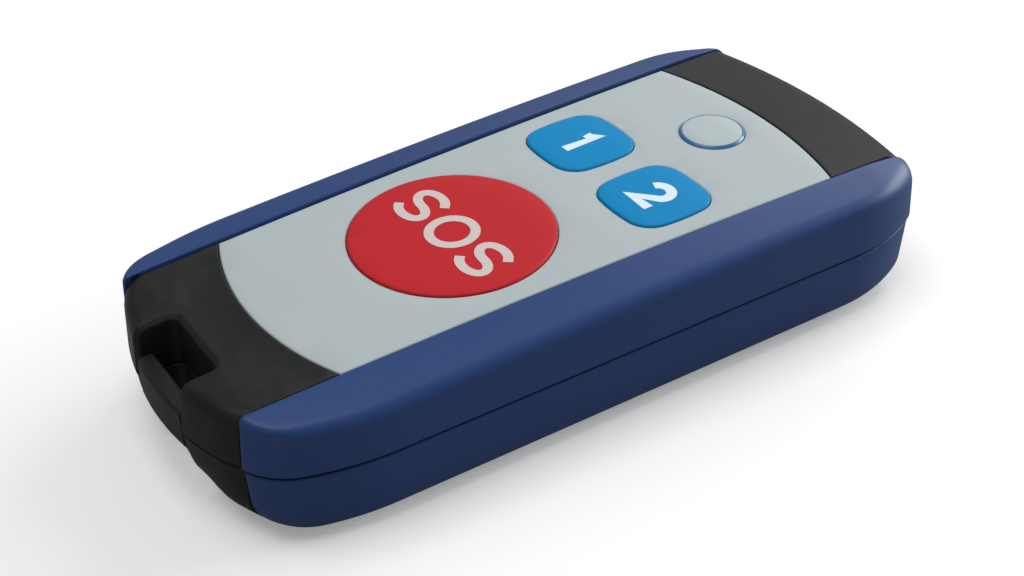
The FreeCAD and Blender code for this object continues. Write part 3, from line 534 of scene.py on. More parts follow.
@dataclass(frozen=True)
class Outline:
    """The +Y half of the housing's plan outline, from the nose to the tail, in millimetres."""

    half_width: float = 16.6
    taper: float = math.radians(1.25)
    nose: OutlineEnd = OutlineEnd(-36.4, 1, 28.0, 26.0, 14.0, 6.0)
    tail: OutlineEnd = OutlineEnd(36.2, -1, 57.0, 17.0, 11.05, 2.9)
    least_corner: float = 1.0
    arc_steps: int = 28
    side_steps: int = 40

    def _arc(self, centre: Vector, start: Vector, end: Vector, radius: float) -> list[Point]:
        """Points about a centre from one point's direction to another's, the short way."""
        first = math.atan2(start.y - centre.y, start.x - centre.x)
        sweep = wrapped(math.atan2(end.y - centre.y, end.x - centre.x) - first)
        angles = [first + sweep * k / self.arc_steps for k in range(self.arc_steps + 1)]
        return on_circle((centre.x, centre.y), radius, angles)

    def _end_points(self, end: OutlineEnd, inset: float, end_inset: float) -> list[Point]:
        """Points from the tip on the centre line to the start of the straight side."""
        normal = Vector((-math.sin(self.taper), math.cos(self.taper)))
        side_x = end.tip + end.towards * end.flank_length
        side = Vector((side_x, self.half_width + side_x * math.tan(self.taper)))
        flank = side - normal * end.flank_radius
        centre = Vector((end.tip + end.towards * end.radius, 0))
        corner = max(end.corner_radius - inset, self.least_corner)
        flank_reach = end.flank_radius - inset
        end_reach = end.radius - end_inset
        middle = circle_crossing(flank, flank_reach - corner, centre, end_reach - corner,
                                 Vector((0, 1)))
        tip = Vector((end.tip + end.towards * end_inset, 0))
        from_end, from_flank = middle + (middle - centre), middle + (middle - flank)
        points = self._arc(centre, tip, from_end, end_reach)
        points += self._arc(middle, from_end, from_flank, corner)[1:]
        points += self._arc(flank, from_flank, side, flank_reach)[1:]
        return points

    def half(self, inset: float, nose_inset: Optional[float] = None) -> list[Point]:
        """The outline moved inwards, at the nose's end arc by a distance of its own.

        Args:
            inset: How far the outline is moved inwards.
            nose_inset: The same for the nose's end arc, if it differs.

        Returns:
            Closely spaced points from the nose's tip to the tail's.
        """
        start = self._end_points(self.nose, inset, inset if nose_inset is None else nose_inset)
        finish = self._end_points(self.tail, inset, inset)[::-1]
        side = [between(start[-1], finish[0], k / self.side_steps)
                for k in range(1, self.side_steps)]
        return start + side + finish


def shifted(points: Sequence[Point], inset: Over) -> list[Point]:
    """Move a curve to its right-hand side, by a distance that varies."""
    moved = []
    last = len(points) - 1
    for index, (x, y) in enumerate(points):
        (ax, ay), (bx, by) = points[max(index - 1, 0)], points[min(index + 1, last)]
        length = math.hypot(bx - ax, by - ay)
        distance = inset(x, y)
        moved.append((x + (by - ay) / length * distance, y - (bx - ax) / length * distance))
    return moved


def clipped(points: Sequence[Point], limit: Along) -> list[Point]:
    """The part of a curve that lies beyond a limit in Y, with its two ends exactly on it."""
    over = [y - limit(x) for x, y in points]
    first = next(i for i, value in enumerate(over) if value > 0)
    last = len(over) - 1 - next(i for i, value in enumerate(reversed(over)) if value > 0)

    def crossing(i: int, j: int) -> Point:
        """Where the curve crosses the limit between two of its points."""
        return between(points[i], points[j], over[i] / (over[i] - over[j]))

    return [crossing(first - 1, first), *points[first:last + 1], crossing(last + 1, last)]


def at_distance(points: Sequence[Point], distance: float) -> Point:
    """The point of a curve at a distance from its start."""
    for first, second in zip(points, points[1:]):
        step = math.dist(first, second)
        if distance <= step:
            return between(first, second, distance / step if step else 0.0)
        distance -= step
    return points[-1]


SPREAD_LENGTH_WEIGHT = 0.25
SPREAD_TURN_WEIGHT = 6.0
LEAST_SPAN = 1e-9


def spread(points: Sequence[Point], count: int, margin: float) -> list[Point]:
    """Points of a curve between two margins, closer together where it turns more.

    Args:
        points: The curve.
        count: Number of points to return.
        margin: Length left out at each end.

    Returns:
        The chosen points, the first and last one margin from the curve's ends.
    """
    lengths = [math.dist(a, b) for a, b in zip(points, points[1:])]
    headings = [math.atan2(b[1] - a[1], b[0] - a[0]) for a, b in zip(points, points[1:])]
    total = sum(lengths)
    marks, along, weight = [(0.0, 0.0)], 0.0, 0.0
    for index, length in enumerate(lengths):
        turn = abs(wrapped(headings[index] - headings[index - 1])) if index else 0.0
        along += length
        weight += length * SPREAD_LENGTH_WEIGHT + turn * SPREAD_TURN_WEIGHT
        marks.append((along, weight))

    def weight_at(distance: float) -> float:
        """Weight gathered up to a distance along the curve."""
        for (a, wa), (b, wb) in zip(marks, marks[1:]):
            if distance <= b:
                return wa + (wb - wa) * (distance - a) / max(b - a, LEAST_SPAN)
        return marks[-1][1]

    low, high = weight_at(margin), weight_at(total - margin)
    places, step = [], 0
    for index in range(count):
        wanted = low + (high - low) * index / (count - 1)
        while step < len(marks) - 2 and marks[step + 1][1] < wanted:
            step += 1
        (a, wa), (b, wb) = marks[step], marks[step + 1]
        places.append(a + (b - a) * part_way(wanted, wa, max(wb, wa + LEAST_SPAN)))
    places[0], places[-1] = margin, total - margin
    return [at_distance(points, place) for place in places]


# Crowned plates


class PlanOutline(Protocol):
    """Anything that can give its closed outline, counter-clockwise, moved inwards by a distance."""

    def loop(self, inset: float) -> list[Point]:
        """The outline's points, in millimetres."""


@dataclass(frozen=True)
class RoundOutline:
    """A circle."""

    centre: Point
    radius: float
    steps: int = 128

    def loop(self, inset: float) -> list[Point]:
        """The circle's points."""
        return arc(self.centre, self.radius - inset, 0.0, math.tau, self.steps)

    def grown(self, margin: float) -> "RoundOutline":
        """The same circle, larger by a margin all round."""
        return RoundOutline(self.centre, self.radius + margin, self.steps)


@dataclass(frozen=True)
class KeyOutline:
    """A numbered key: four bulged sides joined by tangent corners."""

    centre: Point
    half_length: float
    half_width: float
    side_radius: float = 18.0
    corner_radius: float = 2.5
    steps: int = 14

    def loop(self, inset: float) -> list[Point]:
        """The key's points, quadrant by quadrant."""
        side, corner = self.side_radius, self.corner_radius
        right = Vector((self.half_length - side, 0))
        top = Vector((0, self.half_width - side))
        middle = circle_crossing(right, side - corner, top, side - corner, Vector((1, 1)))
        first = math.atan2(middle.y - right.y, middle.x - right.x)
        second = math.atan2(middle.y - top.y, middle.x - top.x)
        bulge, round_corner = side - inset, corner - inset
        points = arc((right.x, 0), bulge, -first, first, self.steps)
        points += arc((middle.x, middle.y), round_corner, first, second, self.steps)
        points += arc((0, top.y), bulge, second, math.pi - second, self.steps)
        points += arc((-middle.x, middle.y), round_corner, math.pi - second, math.pi - first,
                      self.steps)
        points += [(-x, -y) for x, y in points]
        return [(self.centre[0] + x, self.centre[1] + y) for x, y in points]

    def grown(self, margin: float) -> "KeyOutline":
        """The same key, larger by a margin all round."""
        return KeyOutline(self.centre, self.half_length + margin, self.half_width + margin,
                          self.side_radius + margin, self.corner_radius + margin, self.steps)


@dataclass(frozen=True)
class PanelOutline:
    """The panel: tapered sides along the grips and two ends that bow outwards."""

    gap: float = 0.08
    nose_x: float = -27.25
    nose_radius: float = 26.6
    tail_x: float = 27.35
    tail_radius: float = 38.5
    half_width: float = 11.75
    taper: float = math.radians(1.7)
    end_steps: int = 40
    side_steps: int = 30

    def loop(self, inset: float) -> list[Point]:
        """The panel's points, from the tail round to the nose."""
        moved = self.gap + inset
        slope, half_width = math.tan(self.taper), self.half_width - moved / math.cos(self.taper)

        def corner(centre: float, radius: float, sign: int) -> Point:
            """Where a side meets an end arc."""
            a = 1 + slope ** 2
            b = slope * half_width - centre
            c = centre ** 2 + half_width ** 2 - radius ** 2
            x = (-b + sign * math.sqrt(b ** 2 - a * c)) / a
            return x, half_width + slope * x

        nose_centre, nose_reach = self.nose_x + self.nose_radius, self.nose_radius - moved
        tail_centre, tail_reach = self.tail_x - self.tail_radius, self.tail_radius - moved
        nose, tail = corner(nose_centre, nose_reach, -1), corner(tail_centre, tail_reach, 1)
        nose_angle = math.atan2(nose[1], nose[0] - nose_centre)
        tail_angle = math.atan2(tail[1], tail[0] - tail_centre)
        turned_nose, turned_tail = (nose[0], -nose[1]), (tail[0], -tail[1])
        shares = [k / self.side_steps for k in range(self.side_steps)]
        return (arc((tail_centre, 0), tail_reach, -tail_angle, tail_angle, self.end_steps)
                + [between(tail, nose, share) for share in shares]
                + arc((nose_centre, 0), nose_reach, nose_angle, math.tau - nose_angle,
                      self.end_steps)
                + [between(turned_nose, turned_tail, share) for share in shares])


def encloses(loop: Sequence[Point], place: Point) -> bool:
    """Whether a closed outline has a place inside it."""
    inside = False
    for (ax, ay), (bx, by) in zip(loop, [*loop[1:], loop[0]]):
        if (ay > place[1]) != (by > place[1]):
            if place[0] < (bx - ax) * (place[1] - ay) / (by - ay) + ax:
                inside = not inside
    return inside


def on_face(loops: Sequence[Sequence[Point]], place: Point) -> bool:
    """Whether a place lies inside the first of some outlines and outside the others."""
    return encloses(loops[0], place) and not any(encloses(hole, place) for hole in loops[1:])


FILL_INSIDE = 1
FILL_EPSILON = 1e-7


@dataclass
class Plate:
    """A piece that follows the crown, with a soft upper edge and upright sides.

    Attributes:
        outline: Its outline.
        top: Height of its face along X.
        bottom: Height of its underside along X.
        edge: Radius of the upper edges.
        holes: Outlines of its holes.
        edge_steps: Number of flats in a rounded edge.
        spacing: Distance between the points inside the face.
    """

    outline: PlanOutline
    top: Along
    bottom: Along
    edge: float
    holes: Sequence[PlanOutline] = ()
    edge_steps: int = 4
    spacing: float = 2.4

    def _inner_points(self, loops: Sequence[Sequence[Point]]) -> list[Point]:
        """Evenly spaced points inside the face, which carry its curve."""
        xs, ys = [p[0] for p in loops[0]], [p[1] for p in loops[0]]
        columns = int((max(xs) - min(xs)) / self.spacing)
        rows = int((max(ys) - min(ys)) / self.spacing)
        places = [(min(xs) + (i + 0.5) * self.spacing, min(ys) + (j + 0.5) * self.spacing)
                  for i in range(columns) for j in range(rows)]
        return [place for place in places if on_face(loops, place)]

    def _fill(self, loops: Sequence[Sequence[Point]]) -> tuple[list[Point], list[list[int]]]:
        """Triangles that fill the outline but not the holes; the loops' points come first."""
        points = [p for loop in loops for p in loop]
        edges, start = [], 0
        for loop in loops:
            count = len(loop)
            edges += [(start + i, start + (i + 1) % count) for i in range(count)]
            start += count
        points += self._inner_points(loops)
        result = delaunay_2d_cdt([Vector(p) for p in points], edges, [], FILL_INSIDE, FILL_EPSILON)
        origin = [source[0] for source in result[3]]
        triangles = []
        for face in result[2]:
            corners = [origin[i] for i in face]
            xs, ys = zip(*(points[i] for i in corners))
            if on_face(loops, (sum(xs) / 3, sum(ys) / 3)):
                triangles.append(corners)
        return points, triangles

    def add_to(self, work: bmesh.types.BMesh) -> None:
        """Build the closed plate into a mesh that is being made."""
        makers = [(self.outline, 1.0)] + [(hole, -1.0) for hole in self.holes]
        loops = [maker.loop(sign * self.edge) for maker, sign in makers]
        points, triangles = self._fill(loops)

        def row(places: Sequence[Point], height: Along,
                drop: float = 0.0) -> list[bmesh.types.BMVert]:
            """New vertices over some places, a drop below a height."""
            return [work.verts.new((x * MM, y * MM, (height(x) - drop) * MM)) for x, y in places]

        face_top, face_low = row(points, self.top), row(points, self.bottom)
        for a, b, c in triangles:
            work.faces.new((face_top[a], face_top[b], face_top[c]))
            work.faces.new((face_low[c], face_low[b], face_low[a]))
        start = 0
        for (maker, sign), loop in zip(makers, loops):
            end = start + len(loop)
            rows = [face_top[start:end]]
            for k in range(1, self.edge_steps + 1):
                angle = math.pi / 2 * k / self.edge_steps
                inset, drop = self.edge * (1 - math.sin(angle)), self.edge * (1 - math.cos(angle))
                rows.append(row(maker.loop(sign * inset), self.top, drop))
            rows += [row(maker.loop(0.0), self.bottom), face_low[start:end]]
            join_rows(work, rows, closed=True)
            start = end


@dataclass(frozen=True)
class Face:
    """Outlines and heights that the panel, the keys and the indicator share, in millimetres."""

    sos: RoundOutline = RoundOutline((-7.65, 0.0), 9.22)
    key_one: KeyOutline = KeyOutline((10.15, 5.62), 4.46, 4.38)
    key_two: KeyOutline = KeyOutline((10.15, -5.62), 4.46, 4.38)
    ring: RoundOutline = RoundOutline((21.55, 0.0), 3.12, 96)
    lens: RoundOutline = RoundOutline((21.55, 0.0), 2.86, 96)
    sos_flange: RoundOutline = RoundOutline((-7.65, 0.0), 10.0)
    flange_margin: float = 0.4
    key_gap: float = 0.06
    panel_thickness: float = 0.8
    key_rise: float = 0.14
    flange_top: float = 10.95
    flange_bottom: float = 10.1
    nub_radius: float = 1.6
    nub_bottom: float = 9.9
    lens_rise: float = 0.2
    guide_radius: float = 1.2
    guide_bottom: float = 8.35


FACE = Face()


@dataclass
class FrontPanel:
    """The grey panel, with a rolled rim and holes that fit closely round the keys."""

    materials: Materials
    palette: Palette
    rim: float = 0.16

    def build(self) -> None:
        """Make the panel."""
        gap = FACE.key_gap
        holes = [FACE.sos.grown(gap), FACE.key_one.grown(gap), FACE.key_two.grown(gap),
                 FACE.ring.grown(gap / 2)]
        work = bmesh.new()
        Plate(PanelOutline(), above_crown(0.0), above_crown(-FACE.panel_thickness), self.rim,
              holes).add_to(work)
        add_piece(finished("front_panel_skin", work), self.materials.get(self.palette.panel_grey),
                  "housing", ("front_panel",))


@dataclass
class KeyCaps:
    """The three caps with soft rims, their flanges below the case and their nubs."""

    materials: Materials
    palette: Palette
    rim: float = 0.2
    hidden_rim: float = 0.05
    nub_steps: int = 32

    def _cap(self, node: str, outline: Union[RoundOutline, KeyOutline], flange: PlanOutline,
             finish: Finish, body: str) -> None:
        """Make one cap.

        Args:
            node: The CAD node that it stands for.
            outline: Outline of the part that is seen.
            flange: Outline of its flange.
            finish: Its finish.
            body: The key's body.
        """
        nub = RoundOutline(outline.centre, FACE.nub_radius, self.nub_steps)
        work = bmesh.new()
        Plate(outline, above_crown(FACE.key_rise), level(FACE.flange_top), self.rim).add_to(work)
        Plate(flange, level(FACE.flange_top), level(FACE.flange_bottom), self.hidden_rim,
              edge_steps=1).add_to(work)
        Plate(nub, level(FACE.flange_bottom), level(FACE.nub_bottom), self.hidden_rim,
              edge_steps=1).add_to(work)
        add_piece(finished(node + "_skin", work), self.materials.get(finish), body, (node,))

    def build(self) -> None:
        """Make all three."""
        self._cap("sos_key", FACE.sos, FACE.sos_flange, self.palette.key_red, "sos")
        for node, key in (("key_one", FACE.key_one), ("key_two", FACE.key_two)):
            self._cap(node, key, key.grown(FACE.flange_margin), self.palette.key_blue,
                      node[4:])


@dataclass
class Indicator:
    """The lens disc, its light guide and the thin ring that stands round it."""

    materials: Materials
    palette: Palette
    lens_edge: float = 0.07
    lens_edge_steps: int = 3
    lens_clearance: float = 0.02
    guide_edge: float = 0.05
    guide_steps: int = 32
    ring_clearance: float = 0.01
    ring_top: float = 0.07
    ring_roll: float = 0.3
    ring_foot: float = 0.05
    ring_foot_rise: float = 0.03
    ring_smoothing: float = 50.0

    def _ring(self) -> bpy.types.Mesh:
        """Ring with a narrow rounded top and a sloping outer wall."""
        ring = FACE.ring
        crown = CROWN.height(ring.centre[0])
        low, crest = crown - FACE.panel_thickness, crown + FACE.lens_rise
        inner, outer = FACE.lens.radius + self.ring_clearance, ring.radius
        half_top = self.ring_top / 2
        roll = half_top * self.ring_roll
        profile = [(inner, low), (inner, crest - half_top), (inner + roll, crest - roll),
                   (inner + half_top, crest), (inner + half_top * 2, crest - roll),
                   (outer - self.ring_foot, crown + self.ring_foot_rise),
                   (outer, crown - self.ring_foot_rise), (outer, low)]
        work = bmesh.new()
        rows = [[work.verts.new(((ring.centre[0] + r * x) * MM, r * y * MM, z * MM))
                 for r, z in profile] for x, y in arc((0, 0), 1.0, 0.0, math.tau, ring.steps)]
        join_rows(work, rows + rows[:1], closed=True)
        return finished("indicator_ring_skin", work, self.ring_smoothing)

    def build(self) -> None:
        """Make the lens and the ring."""
        crown = CROWN.height(FACE.lens.centre[0])
        top, foot = crown + FACE.lens_rise, crown - FACE.panel_thickness + self.lens_clearance
        guide = RoundOutline(FACE.lens.centre, FACE.guide_radius, self.guide_steps)
        work = bmesh.new()
        Plate(FACE.lens, level(top), level(foot), self.lens_edge,
              edge_steps=self.lens_edge_steps).add_to(work)
        Plate(guide, level(foot), level(FACE.guide_bottom), self.guide_edge,
              edge_steps=1).add_to(work)
        add_piece(finished("indicator_lens_skin", work), self.materials.get(self.palette.lens_grey),
                  "housing", ("indicator_lens",))
        add_piece(self._ring(), self.materials.get(self.palette.ring_blue), "housing",
                  ("indicator_ring",))


# Side grips


@dataclass(frozen=True)
class Lip:
    """A small quarter-round edge.

    Attributes:
        radius: Its radius, in millimetres.
        steps: Number of flats that it is divided into.
    """

    radius: float
    steps: int = 3

    def stations(self) -> list[tuple[float, float]]:
        """Distance from the end face and depth below the next face, point by point."""
        angles = [math.pi / 2 * (1 - k / self.steps) for k in range(self.steps + 1)]
        return [(self.radius * (1 - math.sin(a)), self.radius * (1 - math.cos(a))) for a in angles]

    def roll(self, distance: float) -> float:
        """Depth of the edge at a distance from its end face."""
        short = min(max(self.radius - distance, 0.0), self.radius)
        return self.radius - math.sqrt(self.radius ** 2 - short ** 2)


@dataclass
class GripSection:
    """Rows of points that wrap one side grip; all rows share their columns.

    Attributes:
        outline: The housing's outline.
        columns: Number of columns between the two end lips.
        end_lip: Rounding where the grip ends against the black case.
        deck_lip: Rounding along the deck.
        parting_lip: Rounding along the parting line.
        deck_half_width: Half width of the deck at the middle of the body.
        deck_taper: Angle by which the deck widens to each side.
        seam: Width of the open joint along the deck.
        slit: Half height of the open joint along the parting line.
        slit_depth: Depth of that joint.
        end_return: How far the end face reaches in from the outer wall.
        return_share: Share of the grip's width beyond which it never reaches.
        turn: Direction in which the deck lip rolls over: -1 for down, 1 for up.
    """

    outline: Outline = field(default_factory=Outline)
    columns: int = 96
    end_lip: Lip = Lip(0.4, 4)
    deck_lip: Lip = Lip(0.18)
    parting_lip: Lip = Lip(0.3)
    deck_half_width: float = 11.75
    deck_taper: float = math.radians(1.7)
    seam: float = 0.18
    slit: float = 0.13
    slit_depth: float = 0.6
    end_return: float = 0.9
    return_share: float = 0.7
    turn: float = -1.0

    def deck_line(self, x: float) -> float:
        """Distance of the grip's inner edge from the centre line at x."""
        return self.deck_half_width + self.seam + x * math.tan(self.deck_taper)

    def row(self, inset: float, height: Over, nose_inset: Optional[float] = None,
            extra: Over = lambda x, y: 0.0, lipped: bool = True) -> list[Vector]:
        """One row of points along the grip.

        Args:
            inset: How far the row lies inside the housing's outline.
            height: Height of the surface at a place.
            nose_inset: The inset of the nose's end arc, if it differs.
            extra: Further inset that varies along the row.
            lipped: Whether the row's ends turn in round the end lips.

        Returns:
            The row's points, in millimetres.
        """
        base = self.outline.half(inset, nose_inset)
        plain = clipped(shifted(base, extra), self.deck_line)
        stations = self.end_lip.stations()
        main = spread(plain, self.columns, self.end_lip.radius if lipped else 0.0)
        if lipped:
            room = max(y - self.deck_line(x) for x, y in plain)
            depths = [(0.0, min(self.end_return, self.return_share * room))] + stations[:-1]
            starts, ends = [], []
            for distance, depth in depths:
                inner = clipped(shifted(base, lambda x, y: extra(x, y) + depth), self.deck_line)
                starts.append(at_distance(inner, distance))
                ends.append(at_distance(inner[::-1], distance))
        else:
            starts = [plain[0]] * len(stations)
            ends = [plain[-1]] * len(stations)
        places = starts + main + ends[::-1]
        return [Vector((x, y, height(x, y))) for x, y in places]

    def inward(self, row: Sequence[Vector], shares: Sequence[float],
               height: Over) -> list[list[Vector]]:
        """Rows from a given one across to the deck's edge, ending in the deck lip.

        Args:
            row: The outermost row.
            shares: Share of the way that each plain row has gone.
            height: Height of the surface at a place.

        Returns:
            The rows, the last one on the deck's edge.
        """
        rows = []
        edge = [self.deck_line(p.x) for p in row]
        widths = [max(p.y - e, 0.0) for p, e in zip(row, edge)]
        radius = self.deck_lip.radius
        for share in shares:
            line = []
            for point, low, width in zip(row, edge, widths):
                y = low + max(width * (1 - share), min(radius, width))
                line.append(Vector((point.x, y, height(point.x, y))))
            rows.append(line)
        for distance, depth in self.deck_lip.stations()[::-1]:
            line = []
            for point, low, width in zip(row, edge, widths):
                scale = min(1.0, width / radius)
                y = low + distance * scale
                line.append(Vector((point.x, y, height(point.x, y) + self.turn * depth * scale)))
            rows.append(line)
        return rows


WELD_DISTANCE = 1e-7
SLIVER_LENGTH = 1e-8


def wrapped_solid(name: str, rows: Sequence[Sequence[Vector]], mirrored: bool) -> bpy.types.Mesh:
    """Closed mesh through rows that form a loop, with a cap over each end.

    Args:
        name: Name of the mesh.
        rows: Rows of points with equal counts, in millimetres.
        mirrored: Whether the shape is flipped to the other side of the centre line.

    Returns:
        The mesh, in metres.
    """
    side = -1 if mirrored else 1
    work = bmesh.new()
    grid = [[work.verts.new((p.x * MM, p.y * side * MM, p.z * MM)) for p in row] for row in rows]
    join_rows(work, grid + grid[:1], closed=False)
    for column in (0, -1):
        work.faces.new([row[column] for row in grid])
    bmesh.ops.remove_doubles(work, verts=work.verts, dist=WELD_DISTANCE)
    bmesh.ops.dissolve_degenerate(work, edges=work.edges, dist=SLIVER_LENGTH)
    return finished(name, work)


def steps_to_one(count: int) -> list[float]:
    """Even shares of a way, the last one 1."""
    return [k / count for k in range(1, count + 1)]


@dataclass
class UpperGrip:
    """Upper side grip: drafted wall, soft crease and a sloping top that follows the crown.

    Attributes:
        section: What its rows share with the other grips.
        parting: Height of the parting line.
        draft: Lean of the outer wall.
        rise: Height of the top above the crown, along the deck.
        tail_drop: How far the top sinks at the tail.
        tail_drop_span: Where along X it sinks.
        slope: Fall of the top towards the outer wall.
        wall: Thickness of the grip.
        core_inset: How far its inner face lies inside the housing's outline.
        crease_radius: Radius of the crease between wall and top.
        nose_crease_radius: The same at the nose.
        tail_crease_radius: The same at the tail.
        nose_crease_span: Where along X the crease tightens.
        tail_crease_span: Where along X it grows.
        crease_steps: Number of flats in the crease.
        wall_rows: Number of rows up the wall.
        top_rows: Number of rows across the top.
    """

    section: GripSection = field(default_factory=GripSection)
    parting: float = 7.4
    draft: float = math.radians(3.5)
    rise: float = 0.26
    tail_drop: float = 0.28
    tail_drop_span: tuple[float, float] = (28.5, 34.5)
    slope: float = math.radians(13.0)
    wall: float = 1.5
    core_inset: float = 1.876
    crease_radius: float = 1.0
    nose_crease_radius: float = 0.6
    tail_crease_radius: float = 2.0
    nose_crease_span: tuple[float, float] = (-28.0, -33.0)
    tail_crease_span: tuple[float, float] = (27.0, 34.0)
    crease_steps: int = 7
    wall_rows: int = 3
    top_rows: int = 4

    def top(self, x: float, y: float) -> float:
        """Height of the sloping top."""
        outboard = (y - self.section.deck_line(x)) * math.cos(self.section.deck_taper)
        rise = self.rise - self.tail_drop * eased(part_way(x, *self.tail_drop_span))
        return CROWN.height(x) + rise - math.tan(self.slope) * outboard

    def radius(self, x: float) -> float:
        """Radius of the crease, which tightens at the nose and grows towards the tail."""
        radius = self.crease_radius
        for span, goal in ((self.nose_crease_span, self.nose_crease_radius),
                           (self.tail_crease_span, self.tail_crease_radius)):
            radius += (goal - self.crease_radius) * eased(part_way(x, *span))
        return radius

    def rows(self) -> list[list[Vector]]:
        """Rows round the whole section, from the inner foot outwards and over the top."""
        lean = math.tan(self.draft)
        section, lip = self.section, self.section.parting_lip
        rows = [section.row(self.core_inset, lambda x, y: self.parting, lipped=False)]
        for rise in (0.0, section.slit):
            rows.append(section.row(section.slit_depth, lambda x, y: self.parting + rise))
        for distance, depth in lip.stations():
            rise = section.slit + distance
            rows.append(section.row(depth, lambda x, y: self.parting + rise,
                                    extra=lambda x, y: rise * lean))
        foot = self.parting + section.slit + lip.radius
        for share in steps_to_one(self.wall_rows):

            def height(x: float, y: float) -> float:
                """Height of this row of the wall."""
                return foot + (self.top(x, y) - self.radius(x) - foot) * share

            rows.append(section.row(0.0, height,
                                    extra=lambda x, y: (height(x, y) - self.parting) * lean))
        for share in steps_to_one(self.crease_steps):
            angle = math.pi / 2 * share
            sideways, drop = 1 - math.cos(angle), 1 - math.sin(angle)

            def shift(x: float, y: float) -> float:
                """Inset of this row of the crease, beyond that of the plain crease."""
                start = (self.top(x, y) - self.radius(x) - self.parting) * lean
                return start + (self.radius(x) - self.crease_radius) * sideways

            rows.append(section.row(self.crease_radius * sideways,
                                    lambda x, y: self.top(x, y) - self.radius(x) * drop,
                                    extra=shift))
        rows += section.inward(rows[-1], steps_to_one(self.top_rows), self.top)
        rows.append([Vector((p.x, p.y, self.top(p.x, p.y) - self.wall)) for p in rows[-1]])
        rows.append(section.row(self.core_inset, lambda x, y: self.top(x, y) - self.wall,
                                lipped=False))
        for point in (point for row in rows for point in row):
            roll = section.deck_lip.roll(point.y - section.deck_line(point.x))
            point.z = min(point.z, self.top(point.x, point.y) - roll)
        return rows


@dataclass
class LowerGrip:
    """Lower side grip: drafted wall, rounded underside and flat foot.

    Attributes:
        section: What its rows share with the other grips.
        parting: Height of the parting line.
        draft: Lean of the outer wall.
        step: How far it lies inside the upper grip at the parting line.
        edge_radius: Radius of the lower edge along the side.
        nose_radius: The same round the nose.
        floor: Height of its inner face.
        core_inset: How far its inner side lies inside the housing's outline.
        core_nose_inset: The same at the nose.
        round_steps: Number of flats in each radius.
        foot_rows: Number of rows across the foot.
    """

    section: GripSection = field(
        default_factory=lambda: GripSection(turn=1.0, parting_lip=Lip(0.14)))
    parting: float = 7.4
    draft: float = math.radians(3.0)
    step: float = 0.2
    edge_radius: float = 3.0
    nose_radius: float = 4.2
    floor: float = 2.2
    core_inset: float = 1.8
    core_nose_inset: float = 3.6
    round_steps: int = 12
    foot_rows: int = 3

    @staticmethod
    def _round(radius: float, z: float) -> float:
        """How far a quarter-round has moved in at a height."""
        return radius - math.sqrt(max(radius ** 2 - (radius - z) ** 2, 0.0)) if z < radius else 0.0

    def insets(self, z: float) -> tuple[float, float]:
        """How far the side and the nose lie inside the outline at a height."""
        wall = self.step + (self.parting - z) * math.tan(self.draft)
        return wall + self._round(self.edge_radius, z), wall + self._round(self.nose_radius, z)

    def _wall_row(self, z: float, depth: float = 0.0) -> list[Vector]:
        """A row of the outer wall at a height, moved inwards by a depth."""
        side, nose = self.insets(z)
        return self.section.row(side + depth, lambda x, y: z, nose + depth)

    def rows(self) -> list[list[Vector]]:
        """Rows round the whole section, from the inner foot outwards and under the bottom."""
        section, lip = self.section, self.section.parting_lip
        rows = [section.row(self.core_inset, lambda x, y: self.parting, self.core_nose_inset,
                            lipped=False)]
        rows += [self._wall_row(self.parting - drop, section.slit_depth)
                 for drop in (0.0, section.slit)]
        rows += [self._wall_row(self.parting - section.slit - distance, depth)
                 for distance, depth in lip.stations()]
        heights = {round(radius * (1 - math.sin(math.pi / 2 * share)), 4)
                   for share in (0.0, *steps_to_one(self.round_steps))
                   for radius in (self.edge_radius, self.nose_radius)}
        rows += [self._wall_row(z) for z in sorted(heights, reverse=True)]
        rows += section.inward(rows[-1], steps_to_one(self.foot_rows), lambda x, y: 0.0)
        rows.append([Vector((p.x, p.y, self.floor)) for p in rows[-1]])
        rows.append(section.row(self.core_inset, lambda x, y: self.floor, self.core_nose_inset,
                                lipped=False))
        return rows


@dataclass
class SideGrips:
    """The four blue grips, each one a closed soft-edged solid."""

    materials: Materials
    palette: Palette
    upper: UpperGrip = field(default_factory=UpperGrip)
    lower: LowerGrip = field(default_factory=LowerGrip)

    def build(self) -> None:
        """Make all four."""
        material = self.materials.get(self.palette.grip_blue)
        for half, rows in (("upper", self.upper.rows()), ("lower", self.lower.rows())):
            for side, mirrored in (("left", False), ("right", True)):
                node = f"{half}_grip_{side}"
                add_piece(wrapped_solid(node + "_skin", rows, mirrored), material,
                          "housing", (node,))


